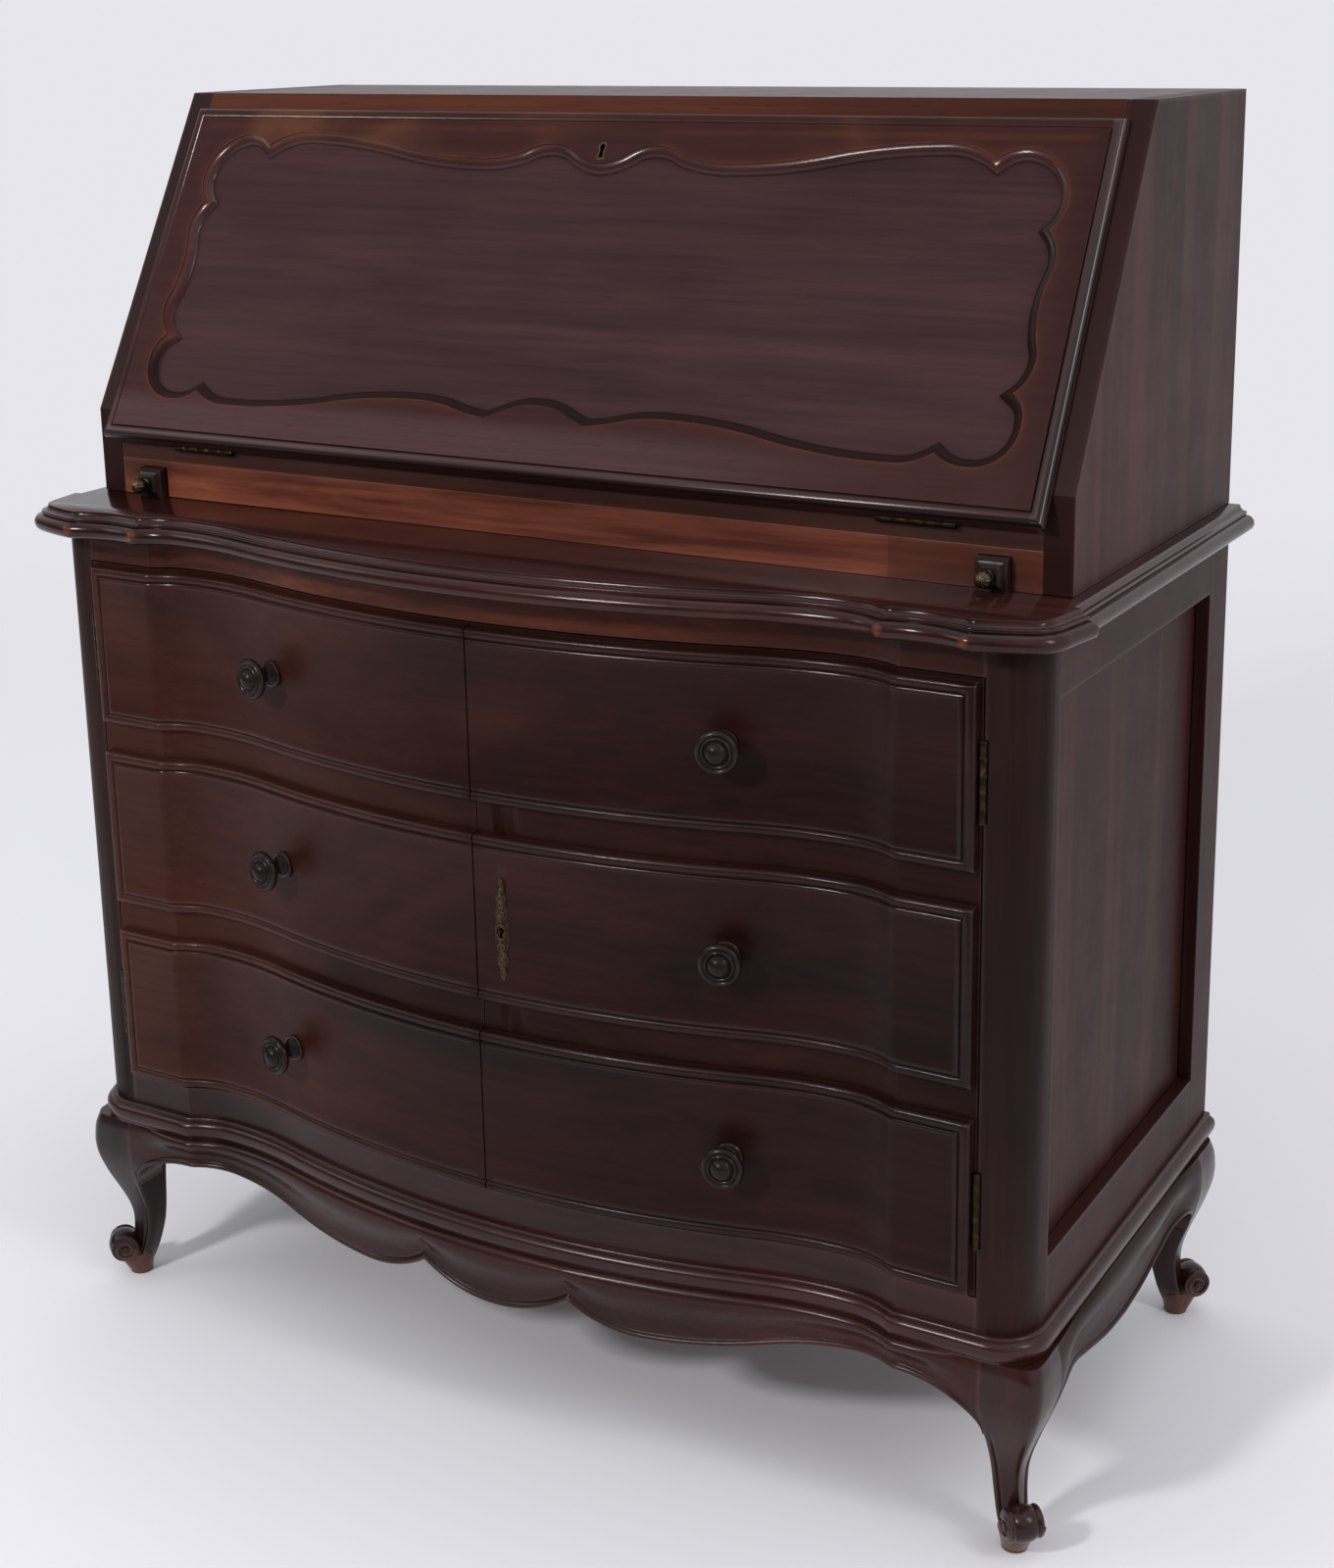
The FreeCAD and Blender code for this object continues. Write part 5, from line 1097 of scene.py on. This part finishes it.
def border_rub_and_painted_light(place, colour, streaks, mark):
    """The polish is dull on the sunk panel and redder on the border round it: orange where the carving's
    edge is rubbed, painted golden highlights in places along the top, a painted greyish sheen on the bottom
    of the border towards the left, and painted shade in the low and the right part of the cut."""
    level, up = on_slope(place, (0, -rise, run)), on_slope(place, (0, run, rise))
    border = level.step(13 * MM, 17 * MM)
    red = border * (0.55 + mark * 0.5)
    colour = red.tint(colour, streaks.tint((0.022, 0.0058, 0.0048), (0.05, 0.013, 0.0092)))
    wide, x = aside(place), place.part("X")
    # painted sheen: the bottom of the border, away from its right end, turns a greyish mauve
    dull = border * (1 - up.step(28 * MM, 48 * MM)) * (1 - x.step(0.05, 0.35))
    colour = (dull * (0.35 + streaks * 0.5)).tint(colour, (0.085, 0.045, 0.047))
    inner = wide.step(38 * MM, 60 * MM) * (1 - wide.step(lip_half - 24 * MM, lip_half - 15 * MM))
    inner = inner * up.step(12 * MM, 20 * MM) * (1 - up.step(fall_length - 20 * MM, fall_length - 13 * MM))
    glow = edges(place, True, 12 * MM).step(0.04, 0.28) * border * inner
    colour = (glow * (0.25 + mark.step(0.3, 0.65) * 0.65)).tint(colour, (0.15, 0.034, 0.0145))
    # painted golden highlights in patches along the top of the border
    top = (up - fall_length).step(-45 * MM, -22 * MM) * border
    painted_highlight = top * noise(place, [6.5, 6.5, 6.5], 3, 0.5, 0.6).step(0.48, 0.68) * 0.55
    colour = painted_highlight.tint(colour, (0.135, 0.05, 0.02))
    right = x.step(0.38, 0.43) * border * (1 - glow) * (0.95 - mark * 0.4)
    colour = right.tint(colour, (0.021, 0.0058, 0.0052))
    # painted shade: the cut is darkened in its low part and down its right side
    cut = level.step(13.1 * MM, 13.8 * MM) * (1 - level.step(17.2 * MM, 18.2 * MM))
    shaded = (1 - up.step(60 * MM, 100 * MM)) + x.step(0.33, 0.37) * (1 - up.step(215 * MM, 245 * MM))
    return (cut * shaded.step(0, 1) * 0.85).tint(colour, (0.006, 0.0023, 0.0021))


def fall_glaze(place):
    """The carved edge's upper part and the round lip, most of all at its right, shine more."""
    level, up = on_slope(place, (0, -rise, run)), on_slope(place, (0, run, rise))
    ovolo = level.step(12.5 * MM, 13.2 * MM) * (1 - level.step(17.5 * MM, 18.1 * MM))
    right = place.part("X").step(-0.1, 0.1) * 0.6 + 0.15
    rim = aside(place).step(lip_half - 10 * MM, lip_half - 8.5 * MM) * right
    foot = 1 - up.step(8.5 * MM, 10 * MM)
    return (ovolo * up.step(90 * MM, 190 * MM) * 0.5 + rim + foot * 0.4).step(0, 1) * 0.75


slope = Matrix(((1, 0, 0, 0), (0, run, -rise, 0), (0, rise, run, 0), (0, 0, 0, 1)))
slope = Matrix.Translation(hinge["pos_m"]) @ slope


def laid_flat(node):
    """A CAD piece's points as they lie when the slope is laid flat, hinge at the origin."""
    return [slope.inverted() @ Vector(vertex.co) for vertex in frame["nodes"][node].data.vertices]


def corners(points):
    return Vector(map(min, zip(*points))), Vector(map(max, zip(*points)))


flat_fall = laid_flat("fall")
fall_low, (lip_half, fall_length, lip_out) = corners(flat_fall)
fall_inside = fall_low.z
FALL_TONES = [(0.029, 0.0122, 0.013), (0.054, 0.0225, 0.0235), (0.082, 0.033, 0.032)]
fall_wood = polished_wood("fall_wood", ACROSS, FALL_TONES, (0.13, 0.036, 0.018), gloss=0.44, shine=0.08,
                          wear=0.6, reach=1.7, extra=border_rub_and_painted_light, glazed=fall_glaze)
LIP_THICK = 8.5 * MM
lip_in = lip_out - LIP_THICK
tongue_half, tongue_end, _ = corners([point for point in flat_fall if point.z < lip_in - 1 * MM])[1]
CARVE_SIDE, CARVE_LOW, CARVE_TOP = 29.2 * MM, 35 * MM, 23 * MM
# The carved outline's right half from the top middle round to the bottom middle: arcs of (through, end),
# in hundredths of the carving's half width and of its height.
CARVING_START = (0, 90.9)
CARVING = [
    ((3.3, 92), (6.2, 94.2)), ((9, 96.6), (12.6, 97.3)), ((15.7, 96.5), (18.5, 94.4)),
    ((23.7, 92.3), (29.6, 91.7)), ((40.6, 92.9), (51.4, 95.9)), ((62.5, 98.8), (73.3, 100)),
    ((79.4, 98.8), (84.3, 94.9)),
    ((86.9, 97.7), (90.2, 98.7)), ((96.7, 94.2), (99.7, 85.6)), ((99.5, 79), (97.4, 73.5)),
    ((99.6, 67.1), (99.5, 59.7)), ((98.6, 49.4), (99.4, 39.5)), ((100, 30.9), (97.2, 23.4)),
    ((99.2, 20.2), (100, 15.2)), ((97.7, 4.5), (91.5, 0.6)), ((87.9, 1.4), (84.8, 4.2)),
    ((81.5, 1.3), (77.1, 0)), ((64.3, 0.7), (51.4, 3.5)), ((41.1, 6.2), (30.8, 7.2)),
    ((25.7, 7.1), (20.6, 6)), ((16, 4.1), (11.4, 3.1)),
    ((9.3, 4.5), (6.4, 6.6)), ((3.3, 8.2), (0, 8.6)),
]


def carved(point):
    """A point of the outline, from its hundredths, on the flat fall."""
    wide, high = lip_half - CARVE_SIDE, fall_length - CARVE_TOP - CARVE_LOW
    return Vector((point[0] / 100 * wide, CARVE_LOW + point[1] / 100 * high))


def arc_through(first, through, last, count):
    """Points after the first along the arc through three points."""
    a, b = through - first, last - first
    cross = 2 * (a.x * b.y - a.y * b.x)
    centre = Vector(((b.y * a.length_squared - a.y * b.length_squared) / cross,
                     (a.x * b.length_squared - b.x * a.length_squared) / cross)) + first
    start, stop = (math.atan2(*(point - centre).yx) for point in (first, last))
    turn = (stop - start) % math.tau
    if cross < 0:
        turn -= math.tau
    radius = (first - centre).length
    return [Vector(polar(radius, angle, centre)) for angle in spread(start, start + turn, count)[1:]]


outline = [carved(CARVING_START)]
for through, end in CARVING:
    count = max(4, round((carved(end) - outline[-1]).length / (4 * MM)))
    outline += arc_through(outline[-1], carved(through), carved(end), count)
outline += [Vector((-point.x, point.y)) for point in outline[-2:0:-1]]

# the lip: a plain board whose edge is rounded by insets, with a fine quirk before the field
LIP_EDGE = 2.6 * MM
NOSE = [(0.25, 1.3), (0.6, 1.3), (1.1, 1.2), (1.6, 0.85), (1.9, 0.35), (1.9, -0.1), (1.3, -0.55),
        (0.6, -0.75), (0.5, 0), (0.25, 1.6)]
fall = block("carved_fall", (0, fall_length / 2, lip_in), (2 * lip_half, fall_length, 1),
             bpy.ops.mesh.primitive_plane_add)
edit(fall)
bpy.ops.mesh.select_mode(type="FACE")
extrude(LIP_EDGE)
inset(NOSE)
bpy.ops.mesh.delete(type="ONLY_FACE")
stop_editing()
field_level = max(vertex.co.z for vertex in fall.data.vertices)

# the carving: a flat face on the waved outline, sunk by insets round a quarter-round edge
SUNK = [(0.15, -0.9), (0.35, -0.05), (1.2, -0.15), (1.6, -0.5), (1.7, -0.9), (1.5, -1.25), (1.0, -1.35),
        (0.4, -1.0), (0.9, 0)]


def flat_face(name, places):
    """A face with its corners at places, opened for editing."""
    deselect()
    bpy.ops.mesh.primitive_circle_add(vertices=len(places), fill_type="NGON")
    piece = named(name, places)
    edit(piece)
    bpy.ops.mesh.select_mode(type="FACE")
    return piece


carving = flat_face("carving", [(point.x, point.y, field_level) for point in outline])
bpy.ops.mesh.normals_make_consistent(inside=False)
mesh = bmesh.from_edit_mesh(carving.data)
mesh.faces.ensure_lookup_table()
if mesh.faces[0].normal.z < 0:
    bpy.ops.mesh.flip_normals()
inset(SUNK)
stop_editing()
fall = join("carved_fall", [fall, carving])
edit(fall)
bpy.ops.mesh.select_mode(type="EDGE")
bpy.ops.mesh.select_all(action="DESELECT")
mesh = bmesh.from_edit_mesh(fall.data)
for line in mesh.edges:
    at_field = all(abs(vertex.co.z - field_level) < 0.001 * MM for vertex in line.verts)
    line.select_set(at_field and len(line.link_faces) == 1)
bmesh.update_edit_mesh(fall.data)
bpy.ops.mesh.fill(use_beauty=False)
stop_editing()
close(fall, 32)

# the inside: a thinner board that drops between the sides, let in for the hinges and the lock
TONGUE_LAP = 0.5 * MM
tongue_size = Vector((2 * tongue_half, tongue_end, lip_in + TONGUE_LAP - fall_inside))
tongue = block("tongue", (0, tongue_end / 2, fall_inside + tongue_size.z / 2), tongue_size)
fall = carve(fall, tongue, "UNION")
cuts = []
# rooms are a little larger than the pieces in them, and reach past the wood where they are open
PLAY, PAST = 0.2 * MM, 1 * MM
LEAF_LENGTH, LEAF_DEEP, LEAF_THICK = 61 * MM, 26 * MM, 1.8 * MM
KNUCKLE, KNUCKLE_END = 3.4, 31
leaf_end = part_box("fall_hinge_leaves")[1].x
leaf_size = (LEAF_LENGTH + PLAY, LEAF_DEEP + PLAY + PAST, 2 * LEAF_THICK + PLAY)
for side in (1, -1):
    middle = side * (leaf_end - LEAF_LENGTH / 2)
    cuts.append(block("leaf_room", (middle, (LEAF_DEEP - PAST) / 2, fall_inside), leaf_size))
    room = turned("knuckle_room", [(KNUCKLE, -KNUCKLE_END), (KNUCKLE, KNUCKLE_END)], 32)
    room.data.transform(Matrix.Translation((middle, 0, 0)) @ Matrix.Rotation(math.radians(90), 4, "Y"))
    cuts.append(room)
lock_low, lock_high = corners(laid_flat("fall_lock_case"))
lock_middle = (lock_low + lock_high) / 2 + Vector((0, 2 * PAST - PLAY / 2, PLAY / 4 - PAST))
cuts.append(block("lock_room", lock_middle, lock_high - lock_low + Vector((PLAY, 4 * PAST, 2 * PAST))))
# the keyhole's brass lining: a round over a slot that widens downwards
KEY_ROUND, SLOT_HALF, SLOT_TOP, SLOT_FOOT = 3.7, 2.6, -5.2, -11.2
LINING_TOP, LINING_DEEP, LINING_PROUD = 5.2 * MM, 3 * MM, 0.4 * MM
BORE_SHARES, BORE_DOWN = (0.62, 0.78, 3), 0.6 * MM
key_up = corners(laid_flat("fall_key_insert"))[1].y - LINING_TOP
key_line = [polar(KEY_ROUND, math.radians(a)) for a in range(-52, 233, 14)]
key_line += [(-SLOT_HALF, SLOT_TOP), (-KEY_ROUND, SLOT_FOOT), (KEY_ROUND, SLOT_FOOT), (SLOT_HALF, SLOT_TOP)]
lining = flat_face("keyhole_lining", [(x * MM, key_up + y * MM, lip_in - LINING_DEEP) for x, y in key_line])
extrude(field_level - lip_in + LINING_DEEP + LINING_PROUD)
stop_editing()
close(lining, 30)
cuts.append(copied(lining, "lining_room", Matrix.Translation((0, 0, PAST))))
for room in cuts:
    carve(fall, room)
narrowed = Matrix.Translation((0, key_up - BORE_DOWN, lip_in)) @ Matrix.Diagonal((*BORE_SHARES, 1))
carve(lining, copied(lining, "key_bore", narrowed @ Matrix.Translation((0, -key_up, -lip_in))))
for piece, finish, node, slot in ((fall, fall_wood, "fall", "case_wood"),
                                  (lining, old_brass, "fall_key_insert", "aged_brass")):
    piece.data.transform(slope)
    stand_in(close(paint(piece, finish), 32), node, "fall_flap")

# Studio
# A pale paper floor, a soft white room that is darker in front, four soft lamps and the photograph's view.
FLOOR = (0.87, 0.865, 0.9)
BACKDROP = (0.79, 0.785, 0.83)
FLOOR_MIDDLE, FLOOR_SIZE = (0, 2.9, 0), (14, 10.6, 1)
floor = block("paper_floor", FLOOR_MIDDLE, FLOOR_SIZE, bpy.ops.mesh.primitive_plane_add)
finish, shader, place = new_finish("paper")
feed(shader, {"Base Color": (*FLOOR, 1), "Roughness": 0.9, "Specular IOR Level": 0.2})
far = place.measure("DISTANCE", (0, 0, 0)).step(1.3, 3.6)
rays = place.node("LightPath")
shown = rays + rays.other("Is Glossy Ray") + rays.other("Is Transmission Ray")
glow = place.node("Emission", {}, {"Color": (*BACKDROP, 1), "Strength": 1})
paper = place.node("MixShader", {}, {0: far * shown, 1: Socket(shader.outputs[0]), 2: glow})
output = finish.node_tree.nodes["Material Output"]
finish.node_tree.links.new(paper.output, output.inputs["Surface"])
paint(floor, finish)

world = bpy.data.worlds.new("studio")
bpy.context.scene.world = world
world.use_nodes = True
background = world.node_tree.nodes["Background"]
direction = Socket(world.node_tree.nodes.new("ShaderNodeTexCoord").outputs["Generated"])
lit = direction.measure("DOT_PRODUCT", (0.45, 0.7, 1)).step(-0.45, 0.5)
room_light = lit.tint((0.09, 0.09, 0.095), (0.78, 0.78, 0.81))
rays = direction.node("LightPath")
shown = rays + (rays.other("Is Glossy Ray") + rays.other("Is Transmission Ray")) * lit
colour = shown.tint(room_light, BACKDROP)
world.node_tree.links.new(colour.output, background.inputs["Color"])


def lamp(name, place, aim, size, power):
    light = bpy.data.lights.new(name, "AREA")
    light.shape = "RECTANGLE"
    light.size, light.size_y = size
    light.energy = power
    holder = bpy.data.objects.new(name, light)
    holder.location = place
    holder.rotation_euler = (Vector(aim) - Vector(place)).to_track_quat("-Z", "Y").to_euler()
    bpy.context.scene.collection.objects.link(holder)


lamp("front_softbox", (-1.0, -3.4, 2.6), (0, 0, 0.5), (0.42, 0.42), 68)
lamp("left_fill", (-2.9, -1.7, 2.4), (0, 0, 0.5), (1.2, 1.2), 10)
lamp("right_strip", (2.6, -0.55, 2.2), (0.3, -0.1, 0.7), (0.5, 1.3), 16)
lamp("overhead", (0.6, 0.3, 3.6), (0.3, 0, 0), (2.4, 2.4), 10)

RIGHT = (0.8737353, 0.4862242, -0.0131414)
DOWN = (0.1093275, -0.2226422, -0.9687507)
AWAY = (-0.4739558, 0.8449950, -0.2476880)
STAND, LENS, SHIFT = (0.97929, -1.58579, 1.10206), 54.142, (-0.02934, -0.1101)
camera = bpy.data.objects.new("camera", bpy.data.cameras.new("camera"))
bpy.context.scene.collection.objects.link(camera)
turn = Matrix((RIGHT, [-part for part in DOWN], [-part for part in AWAY])).transposed()
camera.matrix_world = Matrix.Translation(STAND) @ turn.to_4x4()
camera.data.lens = LENS
camera.data.shift_x, camera.data.shift_y = SHIFT
bpy.context.scene.camera = camera
bpy.context.scene.view_settings.view_transform = "Standard"
